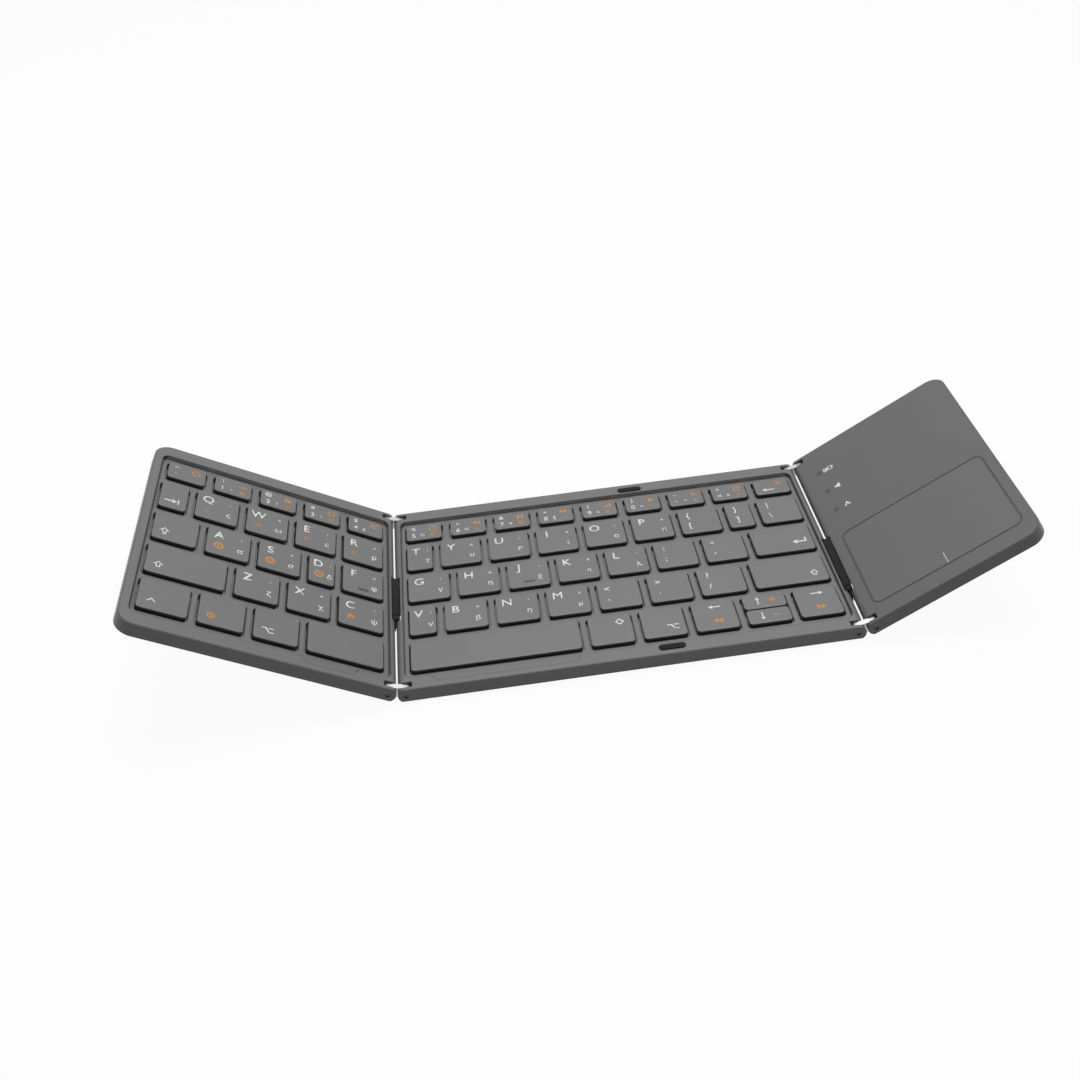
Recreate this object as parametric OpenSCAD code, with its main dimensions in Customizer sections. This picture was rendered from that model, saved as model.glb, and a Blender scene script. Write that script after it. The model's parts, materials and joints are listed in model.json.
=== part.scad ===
// Tri-fold pocket keyboard: a centre key panel, a left key wing and a right
// touchpad wing, joined by two double-pivot hinges.
// Millimetres. The origin is the centre of the centre panel's flat underside,
// +X runs to the right, +Y to the rear and +Z up.

/* [Keys] */
// Distance from one square key to the next along a row
key_pitch = 18; // [17:0.1:19]
// Distance from one row of keys to the next
row_pitch = 17.9; // [17:0.1:19]
// Free space between two neighbouring key tops
key_gap = 3.1; // [2.4:0.1:4]
// Width of the narrow keys that even out the staggered rows
narrow_key_w = 9.35; // [8:0.05:11]
// Width of the slightly wide keys (slash, C and control)
wide_key_w = 16; // [15:0.1:18]
// Free space between two keys of the number row
number_gap = 3.5; // [2.6:0.1:4.5]
// Front-to-back size of the number row's keys
number_key_d = 9.35; // [8:0.05:12]
// Front-to-back size of the slit between the up and down arrow keys
arrow_slit = 0.5; // [0.4:0.1:1]
// Height of a key cap from its skirt to its top
cap_h = 2.1; // [1.9:0.05:2.3]
// Wall and top thickness of a key cap
cap_wall = 0.9; // [0.6:0.05:1]
// Corner radius of a key cap
cap_r = 1.4; // [0.8:0.1:2]
// Chamfer round the top of a key cap
cap_chamfer = 0.22; // [0.1:0.02:0.4]
// Length of the raised bar on the two homing keys
bar_l = 4; // [3:0.5:6]
// Height of that bar above the key top
bar_out = 0.2; // [0.1:0.05:0.3]
// How far a key goes down when it is pressed
key_travel = 1.2; // [0.8:0.05:1.3]

/* [Panels] */
// Thickness of each of the three panels
thickness = 5.3; // [5.2:0.05:6.4]
// How far the key web lies below the rims
well_depth = 1.35; // [0.9:0.05:1.6]
// Thickness of the key web
web_t = 0.8; // [0.5:0.05:1]
// Gap between a key and the edge of its hole in the web
key_clear = 0.55; // [0.4:0.05:0.8]
// Space between the key field and the front and rear walls of the well
well_margin = 3; // [2.4:0.1:4]
// How far the well's walls lean inwards from the rims to the web
well_slope = 0.55; // [0.3:0.05:1.2]
// Corner radius of the key well
well_r = 2.6; // [1.5:0.1:4]
// Width of the front and rear rims
rim_w = 5.7; // [5.4:0.1:8]
// Space between the key field and the pivot axis on the centre panel
centre_key_margin = 2.1; // [2:0.1:3]
// Space between the key field and the pivot axis on the left wing
left_key_margin = 2.4; // [2.2:0.1:3.5]
// Space between the key field and the outer edge of the left wing
outer_key_margin = 4.85; // [4:0.05:7]
// Width of the left wing's outer rim
side_rim_w = 3; // [2:0.1:3.5]
// Radius of the outer corners of both wings
corner_r = 6; // [4:0.5:10]
// Chamfer along the outer edges
edge_break = 0.3; // [0.1:0.05:0.5]
// Thickness of the bottom covers
cover_t = 0.8; // [0.6:0.05:1]
// Width of the lip of frame left round a bottom cover
cover_lip = 1.1; // [0.9:0.1:1.5]
// Clearance round a part laid in a recess
seat_clear = 0.1; // [0.05:0.01:0.2]

/* [Under the keys] */
// Thickness of the steel plate that carries the keys
plate_t = 0.35; // [0.2:0.05:0.5]
// Thickness of the printed circuit sheet
circuit_t = 0.15; // [0.1:0.05:0.2]
// Thickness of the rubber dome sheet between its domes
dome_sheet_t = 0.2; // [0.1:0.05:0.25]
// Radius of a rubber dome at its foot
dome_r = 1.9; // [1.5:0.1:2.1]
// Thickness of the scissor arms' moulding
scissor_t = 0.35; // [0.25:0.05:0.45]
// Width of one scissor arm
scissor_arm = 0.6; // [0.5:0.05:0.7]

/* [Hinges] */
// Height of the pivot axes above the underside
pivot_h = 2.55; // [2.4:0.05:2.8]
// Gap left between two panels' top faces when they are folded together
fold_gap = 0.6; // [0.5:0.05:1]
// Gap left between the two wings' outer edges when both are folded
wing_gap = 0.7; // [0.5:0.1:2]
// Rest angle of each link above flat
link_angle = 15; // [0:1:45]
// Rest angle of each wing above its link
wing_angle = 15; // [0:1:45]
// Thickness of a hinge link plate
link_t = 2; // [1.5:0.1:2.2]
// Radius of the round ends of a link plate
link_r = 2; // [1.8:0.05:2]
// Thickness of the panel wall outside each link plate
link_wall = 1.5; // [1:0.1:2]
// Clearance round a link plate in its slot
link_clear = 0.1; // [0.05:0.01:0.2]
// Radius of a hinge pin
pin_r = 0.8; // [0.6:0.05:1]
// Depth of a hinge pin's end below the panel's outer face
pin_recess = 0.3; // [0.1:0.1:0.6]
// How far a hinge pin goes into the panel past the link plate
pin_seat = 3; // [1.5:0.1:4]
// Radial running clearance between a link plate and its pins
pin_clear = 0.05; // [0.02:0.01:0.08]
// Length of the left hinge's cable sleeve
left_sleeve_l = 20.5; // [14:0.5:26]
// Place of the left sleeve's centre from the middle of the depth
left_sleeve_y = -0.25; // [-6:0.25:6]
// Length of the right hinge's cable sleeve
right_sleeve_l = 27; // [18:0.5:30]
// Place of the right sleeve's centre from the middle of the depth
right_sleeve_y = -13.5; // [-18:0.25:-8]
// Width of a cable sleeve between the panels
sleeve_w = 2.9; // [2:0.1:3]
// Distance from the pivot axis to the nose where it is cut for the sleeve
sleeve_nose = 0.9; // [0.8:0.05:1.1]
// Length of the thin tongue in front of each sleeve
tongue_l = 5.5; // [3:0.5:8]
// Thickness of the flat cable through each hinge
cable_t = 0.2; // [0.1:0.05:0.3]

/* [Touchpad wing] */
// Width of the touchpad
pad_w = 55; // [48:0.5:58]
// Front-to-back size of the touchpad
pad_d = 39.2; // [34:0.2:40]
// Distance from the touchpad's front edge to the wing's front edge
pad_front = 7.2; // [6:0.2:10]
// Distance from the pivot axis to the touchpad's inner edge
pad_inner = 3.5; // [3.2:0.1:6]
// Corner radius of the touchpad
pad_r = 2.8; // [1:0.1:5]
// Thickness of the touchpad plate
pad_t = 0.9; // [0.6:0.05:1]
// Groove between the touchpad and the cover
pad_groove = 0.3; // [0.2:0.05:0.5]
// Thickness of the touchpad's sensor board
sensor_t = 0.6; // [0.4:0.05:0.8]
// Thickness of the cover's top skin
skin_t = 0.9; // [0.7:0.05:1]
// Battery width
battery_w = 46; // [36:1:47]
// Battery front-to-back size
battery_d = 36; // [30:1:38]
// Battery thickness
battery_t = 2.8; // [2:0.1:2.9]
// Thickness of the main circuit board
board_t = 0.8; // [0.6:0.1:1]
// Radius of the three indicator windows
window_r = 0.9; // [0.5:0.05:1.2]
// Distance from the pivot axis to the indicator windows
window_x = 5.8; // [5:0.1:8]
// Distance from the rear edge to the first indicator window
window_rear = 15; // [12:0.2:20]
// Distance from one indicator window to the next
window_pitch = 11.65; // [9:0.05:12]
// Width of the charging socket
socket_w = 7.5; // [7:0.1:8.5]
// Height of the charging socket
socket_h = 2.5; // [2.2:0.1:2.6]
// Depth of the charging socket
socket_d = 5; // [4.5:0.5:7]
// Width of the socket's solder tabs, one at each side
socket_tab = 0.8; // [0.6:0.05:1]
// Least space between the touchpad and the wing's outer edge
pad_outer = 3.6; // [3.4:0.1:4.2]

/* [Feet, pads and screws] */
// Radius of a rubber foot
foot_r = 3.5; // [2.5:0.25:5]
// How far a rubber foot stands out
foot_out = 0.8; // [0.5:0.05:1.5]
// Depth of the recess that holds a foot
foot_seat = 0.3; // [0.2:0.05:0.4]
// Distance from a panel's edges to a foot's centre
foot_inset = 12; // [10:1:20]
// Length of a rubber bumper pad on the centre panel
bumper_l = 9.2; // [7:0.2:12]
// Width of a bumper pad
bumper_w = 2.8; // [2:0.1:3.2]
// Groove left round a bumper pad in its seat
bumper_groove = 0.3; // [0.1:0.05:0.4]
// How far a bumper pad stands out of the rim
bumper_out = 0.3; // [0.1:0.05:0.45]
// Radius of a screw head
screw_head_r = 1.2; // [1:0.05:1.3]
// Radius of a screw's shank
screw_r = 0.6; // [0.5:0.05:0.8]
// Distance from a panel's front and rear edges to its screws
screw_edge = 3.2; // [3.1:0.05:3.4]
// Distance from a pivot axis to the nearest screws of a wing
screw_inner = 12; // [10:0.5:20]
// Distance from an outer edge to the left wing's outer screws
screw_outer = 18; // [14:0.5:24]
// Distance from a pivot axis to the centre panel's end screws
screw_end = 16; // [12:0.5:24]
// Length of a screw's shank above its head
screw_l = 1.8; // [1.2:0.1:2]
// Height of a screw head
screw_head_h = 0.45; // [0.3:0.05:0.55]

/* [Hidden] */
$fn = 48;

// Colours as the photograph shows them
rim_grey = [0.49, 0.49, 0.49];
cap_grey = [0.50, 0.50, 0.50];
cover_grey = [0.27, 0.27, 0.27];
rubber_black = [0.12, 0.12, 0.12];
link_silver = [0.85, 0.85, 0.85];
board_green = [0.10, 0.35, 0.20];

eps = 0.01;
root2 = sqrt(2);

// Key field
key_w = key_pitch - key_gap;
key_d = row_pitch - key_gap;
centre_field_w = 7 * key_w + 2 * narrow_key_w + 8 * key_gap;
left_field_w = 4 * key_w + narrow_key_w + 4 * key_gap;
field_d = 4 * row_pitch + number_key_d;
number_key_w = (centre_field_w - 8 * number_gap) / 9;

// Panels
depth = field_d + 2 * (well_margin + rim_w);
pivot_span = centre_field_w + 2 * centre_key_margin;
left_wing_w = left_field_w + left_key_margin + outer_key_margin;
// The right wing fills what the left one leaves, and always holds the touchpad
right_wing_w = max(pivot_span - left_wing_w - wing_gap, pad_inner + pad_w + pad_outer);
nose_r = thickness - pivot_h;
link_pitch = 2 * nose_r + fold_gap;
web_top = thickness - well_depth;
web_bottom = web_top - web_t;
well_y = field_d / 2 + well_margin;
well_over_pivot = 0.1;

// Stack of sheets under the keys
plate_z = cover_t;
circuit_z = plate_z + plate_t;
dome_z = circuit_z + circuit_t;
sheet_top = dome_z + dome_sheet_t;
cap_bottom = thickness - cap_h;
cap_ceiling = thickness - cap_wall;
cavity_start = 2.8;
cavity_y = well_y + 0.4;
bar_w = 0.8;
bar_inset = 2.9;

// Rows of keys from the rear, as widths from left to right; 0 takes what is left
NUMBER_ROW = 0;
BOTTOM_ROW = 4;
left_rows = [
    [for (i = [1 : 5]) number_key_w],
    [narrow_key_w, key_w, key_w, key_w, key_w],
    [key_w, key_w, key_w, narrow_key_w, key_w],
    [0, key_w, key_w, wide_key_w],
    [wide_key_w, key_w, key_w, 0]
];
centre_rows = [
    [for (i = [1 : 9]) number_key_w],
    [narrow_key_w, key_w, key_w, key_w, key_w, key_w, key_w, narrow_key_w, key_w],
    [key_w, key_w, key_w, key_w, key_w, key_w, key_w, 0],
    [narrow_key_w, key_w, key_w, key_w, key_w, key_w, wide_key_w, 0],
    [0, key_w, key_w, key_w, key_w, key_w]
];
left_field_x = -left_key_margin - left_field_w;
centre_field_x = -centre_field_w / 2;

function total(list, n) = n <= 0 ? 0 : list[n - 1] + total(list, n - 1);
function row_gap(row) = row == NUMBER_ROW ? number_gap : key_gap;
function row_depth(row) = row == NUMBER_ROW ? number_key_d : key_d;
function row_front(row) = -field_d / 2 + (BOTTOM_ROW - row) * row_pitch;
function filled(list, width, gap) =
    [for (w = list) w == 0 ? width - total(list, len(list)) - gap * (len(list) - 1) : w];
function row_widths(rows, row, field) =
    row == NUMBER_ROW ? rows[row] : filled(rows[row], field, key_gap);
// Number rows end at the same side of the field as the hinge-side keys
function row_start(rows, row, field, field_x) =
    row == NUMBER_ROW
        ? field_x + field - total(rows[row], len(rows[row])) - number_gap * (len(rows[row]) - 1)
        : field_x;
// One key as [centre x, centre y, width, depth]
function key_at(rows, row, i, field, field_x) =
    let (w = row_widths(rows, row, field))
    [row_start(rows, row, field, field_x) + total(w, i) + i * row_gap(row) + w[i] / 2,
     row_front(row) + row_depth(row) / 2, w[i], row_depth(row)];
function left_key(row, i) = key_at(left_rows, row, i, left_field_w, left_field_x);
function centre_key(row, i) = key_at(centre_rows, row, i, centre_field_w, centre_field_x);
function left_keys(row, a, b) = [for (i = [a : b]) left_key(row, i)];
function centre_keys(row, a, b) = [for (i = [a : b]) centre_key(row, i)];

// The up and down arrows share the hole of one square key
arrow_i = 4;
arrow_hole = centre_key(BOTTOM_ROW, arrow_i);
arrow_d = (key_d - arrow_slit) / 2;
function arrow_half(side) =
    [arrow_hole[0], arrow_hole[1] + side * (arrow_d + arrow_slit) / 2, key_w, arrow_d];

all_left_keys = [for (row = [0 : 4]) each left_keys(row, 0, len(left_rows[row]) - 1)];
centre_holes = [for (row = [0 : 4]) each centre_keys(row, 0, len(centre_rows[row]) - 1)];
all_centre_keys = concat(
    [for (row = [0 : 3]) each centre_keys(row, 0, len(centre_rows[row]) - 1)],
    centre_keys(BOTTOM_ROW, 0, arrow_i - 1),
    [arrow_half(1), arrow_half(-1), centre_key(BOTTOM_ROW, arrow_i + 1)]
);

// ---------- Places ----------

module on_wing(side) {
    translate([side * (pivot_span / 2 + link_pitch * cos(link_angle)), 0,
               pivot_h + link_pitch * sin(link_angle)])
        rotate([0, -side * (link_angle + wing_angle), 0])
            translate([0, 0, -pivot_h])
                children();
}

// Link frame: the inner pivot is the origin and the outer one lies at side * link_pitch
module on_link(side) {
    translate([side * pivot_span / 2, 0, pivot_h])
        rotate([0, -side * link_angle, 0])
            children();
}

// ---------- Shared shapes ----------

module round_rect(w, d, r) {
    square([w - 2 * r, d], center = true);
    square([w, d - 2 * r], center = true);
    for (x = [-1, 1], y = [-1, 1])
        translate([x * (w / 2 - r), y * (d / 2 - r)])
            circle(r);
}

// Rectangle from x0 to x1, both sides of the middle of the depth
module band(x0, x1, half_d) {
    translate([x0, -half_d])
        square([x1 - x0, 2 * half_d]);
}

// Wing outline from the pivot axis outwards, with round outer corners
module wing_outline(side, w, inset) {
    r = corner_r - inset;
    reach = w - inset;
    mirror([side < 0 ? 1 : 0, 0]) {
        band(0, reach - r, depth / 2 - inset);
        band(0, reach, depth / 2 - inset - r);
        for (y = [-1, 1])
            translate([reach - r, y * (depth / 2 - inset - r)])
                circle(r);
    }
}

// Round nose about a pivot axis, cut flat on the underside
module nose() {
    intersection() {
        translate([0, 0, pivot_h])
            rotate([90, 0, 0])
                cylinder(r = nose_r, h = depth, center = true, $fn = 64);
        translate([-2 * nose_r, -depth / 2, 0])
            cube([4 * nose_r, depth, thickness]);
    }
}

// Prism that takes a chamfer off an edge running along X
module edge_cut_x(length) {
    rotate([45, 0, 0])
        cube([length, edge_break * root2, edge_break * root2], center = true);
}

// Chamfers of a wing's front, rear and outer edges
module wing_edge_cuts(side, w) {
    straight = w - corner_r + nose_r;
    mirror([side < 0 ? 1 : 0, 0, 0])
        for (z = [0, thickness]) {
            for (y = [-1, 1]) {
                translate([straight / 2 - nose_r, y * depth / 2, z])
                    edge_cut_x(straight);
                translate([w - corner_r, y * (depth / 2 - corner_r), z])
                    rotate([0, 0, y > 0 ? 0 : -90])
                        rotate_extrude(angle = 90, $fn = 64)
                            translate([corner_r, 0])
                                rotate(45)
                                    square(edge_break * root2, center = true);
            }
            translate([w, 0, z])
                rotate([0, 0, 90])
                    edge_cut_x(depth - 2 * corner_r);
        }
}

// Slots for the two link plates at a pivot; way is the direction towards the link
module link_slots(way) {
    slot_r = link_r + link_clear + 0.1;
    slot_w = link_t + 2 * link_clear;
    for (y = [-1, 1])
        translate([0, y * (depth / 2 - link_wall - slot_w / 2), 0]) {
            translate([0, 0, pivot_h])
                rotate([90, 0, 0])
                    cylinder(r = slot_r, h = slot_w, center = true);
            translate([way > 0 ? -slot_r : -2 * nose_r, -slot_w / 2, pivot_h])
                cube([slot_r + 2 * nose_r, slot_w, thickness]);
            translate([way > 0 ? 0 : -2 * nose_r, -slot_w / 2, -eps])
                cube([2 * nose_r, slot_w, thickness]);
        }
}

pin_length = link_wall + link_t + 2 * link_clear + pin_seat - pin_recess;

// Two pins on one pivot axis, one at each end
module pivot_pins(r) {
    for (y = [-1, 1])
        translate([0, y * (depth / 2 - pin_recess - pin_length / 2), pivot_h])
            rotate([90, 0, 0])
                cylinder(r = r, h = pin_length, center = true, $fn = 32);
}

// Holes for those pins, open to the panel's outer faces
module pin_holes() {
    pivot_pins(pin_r);
    for (y = [-1, 1])
        translate([0, y * depth / 2, pivot_h])
            rotate([90, 0, 0])
                cylinder(r = pin_r, h = 2 * pin_recess + 2 * eps, center = true, $fn = 32);
}

// Where the nose is cut back for the cable sleeve, with the cable's window behind it
module sleeve_cut(way, sleeve_l, sleeve_y) {
    front_room = 2.5;
    cut_l = sleeve_l + front_room + 0.3;
    cut_y = sleeve_y - front_room + 0.3;
    mirror([way < 0 ? 1 : 0, 0, 0]) {
        translate([sleeve_nose, sleeve_y - sleeve_l / 2 - front_room, -eps])
            cube([2 * nose_r, cut_l, thickness + 2 * eps]);
        translate([-cavity_start - eps, sleeve_y - cable_w(sleeve_l) / 2 - 0.3,
                   pivot_h - cable_window / 2])
            cube([cavity_start + 2 * nose_r, cable_w(sleeve_l) + 0.6, cable_window]);
    }
}

cable_window = 0.8;
function cable_w(sleeve_l) = sleeve_l - 4;

// Tub under a panel: the cover's seat and the cavity above it.
// x0 and x1 bound the cavity, and children() is the cover's outline.
module hollow(x0, x1, half_d, top) {
    translate([0, 0, -eps])
        linear_extrude(cover_t + eps)
            children();
    translate([0, 0, cover_t - eps])
        linear_extrude(top - cover_t + eps)
            band(x0, x1, half_d);
}

module screws_at(points) {
    for (p = points)
        translate([p[0], p[1], 0]) {
            cylinder(r = screw_head_r, h = screw_head_h, $fn = 24);
            cylinder(r = screw_r, h = screw_head_h + screw_l, $fn = 24);
        }
}

// Holes for those screws through a cover and into the frame
module screw_holes(points) {
    for (p = points)
        translate([p[0], p[1], -eps]) {
            cylinder(r = screw_head_r + seat_clear, h = screw_head_h + eps, $fn = 24);
            cylinder(r = screw_r, h = screw_head_h + screw_l + 0.2, $fn = 24);
        }
}

module feet_at(points) {
    for (p = points)
        translate([p[0], p[1], -foot_out])
            cylinder(r = foot_r, h = foot_out + foot_seat);
}

module foot_seats(points) {
    for (p = points)
        translate([p[0], p[1], -eps])
            cylinder(r = foot_r, h = foot_seat + eps);
}

// ---------- Key parts ----------

// One key cap: rounded outline, chamfered top, hollow underneath
module cap(key) {
    w = key[2];
    d = key[3];
    translate([key[0], key[1], cap_bottom])
        difference() {
            intersection() {
                linear_extrude(cap_h)
                    round_rect(w, d, cap_r);
                rotate([90, 0, 0])
                    linear_extrude(d + 1, center = true)
                        cap_profile(w);
                rotate([90, 0, 90])
                    linear_extrude(w + 1, center = true)
                        cap_profile(d);
            }
            translate([0, 0, -eps])
                linear_extrude(cap_h - cap_wall + eps)
                    round_rect(w - 2 * cap_wall, d - 2 * cap_wall, cap_r - cap_wall / 2);
        }
}

module cap_profile(w) {
    c = cap_chamfer;
    polygon([[-w / 2, 0], [w / 2, 0], [w / 2, cap_h - c], [w / 2 - c, cap_h],
             [c - w / 2, cap_h], [-w / 2, cap_h - c]]);
}

module caps(keys) {
    color(cap_grey)
        for (k = keys)
            cap(k);
}

// Raised bar that a forefinger finds, near the front of a key
module homing_bar(key) {
    color(cap_grey)
        translate([key[0], key[1] - key[3] / 2 + bar_inset, thickness - eps])
            linear_extrude(bar_out + eps)
                round_rect(bar_l, bar_w, bar_w / 2 - eps);
}

// Places of the domes and scissors under a key: two under a long bar, else one
long_key = 30;
function carriers(k) =
    k[2] > long_key ? [[k[0] - k[2] / 4, k[1], key_w, k[3]], [k[0] + k[2] / 4, k[1], key_w, k[3]]] : [k];
function dome_radius(k) = min(dome_r, (min(k[2], k[3]) - 2 * cap_wall) / 2 - 2 * scissor_arm - 0.55);

module dome_sheet(keys, x0, x1) {
    dome_top = cap_ceiling - 0.05;
    translate([0, 0, dome_z])
        linear_extrude(dome_sheet_t)
            band(x0, x1, cavity_y - seat_clear);
    for (k = keys, c = carriers(k))
        translate([c[0], c[1], sheet_top - eps])
            cylinder(r1 = dome_radius(c), r2 = 0.6 * dome_radius(c),
                     h = dome_top - sheet_top + eps, $fn = 24);
}

// One flat ring of a scissor, tilted about its middle
module scissor_ring(w, l, tilt) {
    rotate([tilt, 0, 0])
        difference() {
            cube([w, l, scissor_t], center = true);
            cube([w - 2 * scissor_arm, l - 2 * scissor_arm, scissor_t + 1], center = true);
        }
}

// Two crossed rings that guide one key, the inner one inside the outer's arms
module scissor(k) {
    w = min(9, k[2] - 2 * cap_wall - 0.5);
    l = min(9, k[3] - 2 * cap_wall - 0.5);
    low = sheet_top + scissor_t / 2 + 0.12;
    high = cap_ceiling - scissor_t / 2 - 0.12;
    tilt = asin((high - low) / (l + scissor_t));
    translate([k[0], k[1], (low + high) / 2]) {
        scissor_ring(w, l, tilt);
        scissor_ring(w - 2 * scissor_arm - 0.2, l, -tilt);
    }
}

module scissors(keys) {
    color("whitesmoke")
        for (k = keys, c = carriers(k))
            scissor(c);
}

// Holes of the keys, from the dome sheet up through the web
module key_holes(holes) {
    for (k = holes)
        translate([k[0], k[1], dome_z])
            linear_extrude(web_top - dome_z + eps)
                round_rect(k[2] + 2 * key_clear, k[3] + 2 * key_clear, cap_r + key_clear / 2);
}

// Key well from x0 to x1. Its front and rear walls lean in, and its end walls by lean0, lean1.
module key_well(x0, x1, lean0, lean1) {
    top = thickness + 1;
    over = (top - thickness) / well_depth;
    w = x1 - x0;
    intersection() {
        translate([(x0 + x1) / 2, 0, web_top])
            linear_extrude(thickness)
                round_rect(w, 2 * well_y, well_r);
        rotate([90, 0, 0])
            linear_extrude(depth, center = true)
                polygon([[x0 + lean0, web_top], [x1 - lean1, web_top],
                         [x1 + lean1 * over, top], [x0 - lean0 * over, top]]);
        translate([x0 - 1, 0, 0])
            rotate([90, 0, 90])
                linear_extrude(w + 2)
                    polygon([[well_slope - well_y, web_top], [well_y - well_slope, web_top],
                             [well_y + well_slope * over, top],
                             [-well_y - well_slope * over, top]]);
    }
}

// Bay in the front rim before a space key, where a thumb goes down with the key
relief_w = 2.9;
relief_taper = 1.5;
relief_side = 0.4;
module thumb_relief(x0, x1) {
    foot_y = well_slope - well_y;
    side_y = -well_y - relief_side;
    step_y = -well_y - relief_w;
    translate([0, 0, web_top])
        linear_extrude(thickness)
            polygon([[x0, foot_y + 1], [x1, foot_y + 1], [x1, side_y],
                     [x1 - relief_taper, step_y], [x0 + relief_taper, step_y],
                     [x0, side_y]]);
}

// ---------- Centre panel ----------

bumper_x = pivot_span / 2 - right_wing_w;
bumper_y = depth / 2 - rim_w + 2.2;
bumper_seat = 0.5;
centre_cavity_x = pivot_span / 2 - cavity_start;
centre_cover_x = pivot_span / 2 - 3.2;
centre_cover_y = depth / 2 - cover_lip;
screw_y = depth / 2 - screw_edge;
centre_screw_points =
    [for (x = [-1, 0, 1], y = [-1, 1]) [x * (pivot_span / 2 - screw_end), y * screw_y]];
centre_foot_points =
    [for (x = [-1, 1], y = [-1, 1])
        [x * (pivot_span / 2 - foot_inset), y * (depth / 2 - foot_inset)]];

module centre_frame() {
    color(rim_grey)
        difference() {
            union() {
                linear_extrude(thickness)
                    band(-pivot_span / 2, pivot_span / 2, depth / 2);
                for (s = [-1, 1])
                    translate([s * pivot_span / 2, 0, 0])
                        nose();
            }
            for (y = [-1, 1], z = [0, thickness])
                translate([0, y * depth / 2, z])
                    edge_cut_x(pivot_span + 4 * nose_r);
            hollow(-centre_cavity_x, centre_cavity_x, cavity_y, web_bottom)
                band(-centre_cover_x, centre_cover_x, centre_cover_y);
            key_well(-pivot_span / 2 - well_over_pivot, pivot_span / 2 + well_over_pivot, 0, 0);
            key_holes(centre_holes);
            for (s = [-1, 1])
                translate([s * pivot_span / 2, 0, 0]) {
                    link_slots(s);
                    pin_holes();
                    sleeve_cut(s, s < 0 ? left_sleeve_l : right_sleeve_l,
                               s < 0 ? left_sleeve_y : right_sleeve_y);
                }
            for (y = [-1, 1])
                translate([bumper_x, y * bumper_y, thickness - bumper_seat])
                    linear_extrude(bumper_seat + 1)
                        round_rect(bumper_l, bumper_w, bumper_w / 2 - eps);
            thumb_relief(centre_relief_x0, centre_relief_x1);
            screw_holes(centre_screw_points);
        }
}

space_key = centre_key(BOTTOM_ROW, 0);
relief_inset_out = 7;
relief_inset_in = 1.2;
centre_relief_x0 = space_key[0] - space_key[2] / 2 + relief_inset_out;
centre_relief_x1 = space_key[0] + space_key[2] / 2 - relief_inset_in;

module centre_bottom_cover() {
    color(cover_grey)
        difference() {
            linear_extrude(cover_t)
                band(seat_clear - centre_cover_x, centre_cover_x - seat_clear,
                     centre_cover_y - seat_clear);
            screw_holes(centre_screw_points);
            foot_seats(centre_foot_points);
        }
}

module centre_support_plate() {
    color("silver")
        translate([0, 0, plate_z])
            linear_extrude(plate_t)
                band(seat_clear - centre_cavity_x, centre_cavity_x - seat_clear,
                     cavity_y - seat_clear);
}

module centre_circuit_sheet() {
    color("darkslategray")
        translate([0, 0, circuit_z])
            linear_extrude(circuit_t)
                band(seat_clear - centre_cavity_x, centre_cavity_x - seat_clear,
                     cavity_y - seat_clear);
}

module centre_dome_sheet() {
    color("gainsboro")
        dome_sheet(all_centre_keys, seat_clear - centre_cavity_x, centre_cavity_x - seat_clear);
}

module centre_scissors() { scissors(all_centre_keys); }

module centre_screws() {
    color("dimgray")
        screws_at(centre_screw_points);
}

module centre_feet() {
    color(rubber_black)
        feet_at(centre_foot_points);
}

module bumper_pads() {
    color(rubber_black)
        for (y = [-1, 1])
            translate([bumper_x, y * bumper_y, thickness - bumper_seat])
                linear_extrude(bumper_seat + bumper_out)
                    round_rect(bumper_l - 2 * bumper_groove, bumper_w - 2 * bumper_groove,
                               bumper_w / 2 - bumper_groove - eps);
}

module centre_hinge_pins() {
    color("dimgray")
        for (s = [-1, 1])
            translate([s * pivot_span / 2, 0, 0])
                pivot_pins(pin_r);
}

// ---------- Left wing ----------

left_well_x0 = side_rim_w - left_wing_w;
left_cavity_x0 = left_field_x - key_clear - 0.4;
left_cover_x0 = cover_lip - left_wing_w;
left_screw_points =
    [for (x = [-screw_inner, screw_outer - left_wing_w], y = [-1, 1]) [x, y * screw_y]];
left_foot_points = [for (y = [-1, 1]) [foot_inset - left_wing_w, y * (depth / 2 - foot_inset)]];
left_space = left_key(BOTTOM_ROW, 3);
left_relief_x0 = left_space[0] - left_space[2] / 2 - relief_inset_in;
left_relief_x1 = left_space[0] + left_space[2] / 2 - relief_inset_out - 1.8;

module left_cover_outline(inset) {
    intersection() {
        wing_outline(-1, left_wing_w, cover_lip + inset);
        band(-left_wing_w, -3.2 - inset, depth / 2);
    }
}

module left_frame() {
    color(rim_grey)
        on_wing(-1)
            difference() {
                union() {
                    linear_extrude(thickness)
                        wing_outline(-1, left_wing_w, 0);
                    nose();
                }
                wing_edge_cuts(-1, left_wing_w);
                hollow(left_cavity_x0, -cavity_start, cavity_y, web_bottom)
                    left_cover_outline(0);
                key_well(left_well_x0, well_over_pivot, well_slope, 0);
                key_holes(all_left_keys);
                link_slots(1);
                pin_holes();
                sleeve_cut(1, left_sleeve_l, left_sleeve_y);
                thumb_relief(left_relief_x0, left_relief_x1);
                screw_holes(left_screw_points);
            }
}

module left_bottom_cover() {
    color(cover_grey)
        on_wing(-1)
            difference() {
                linear_extrude(cover_t)
                    left_cover_outline(seat_clear);
                screw_holes(left_screw_points);
                foot_seats(left_foot_points);
            }
}

module left_support_plate() {
    color("silver")
        on_wing(-1)
            translate([0, 0, plate_z])
                linear_extrude(plate_t)
                    band(left_cavity_x0 + seat_clear, -cavity_start - seat_clear,
                         cavity_y - seat_clear);
}

module left_circuit_sheet() {
    color("darkslategray")
        on_wing(-1)
            translate([0, 0, circuit_z])
                linear_extrude(circuit_t)
                    band(left_cavity_x0 + seat_clear, -cavity_start - seat_clear,
                         cavity_y - seat_clear);
}

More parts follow.
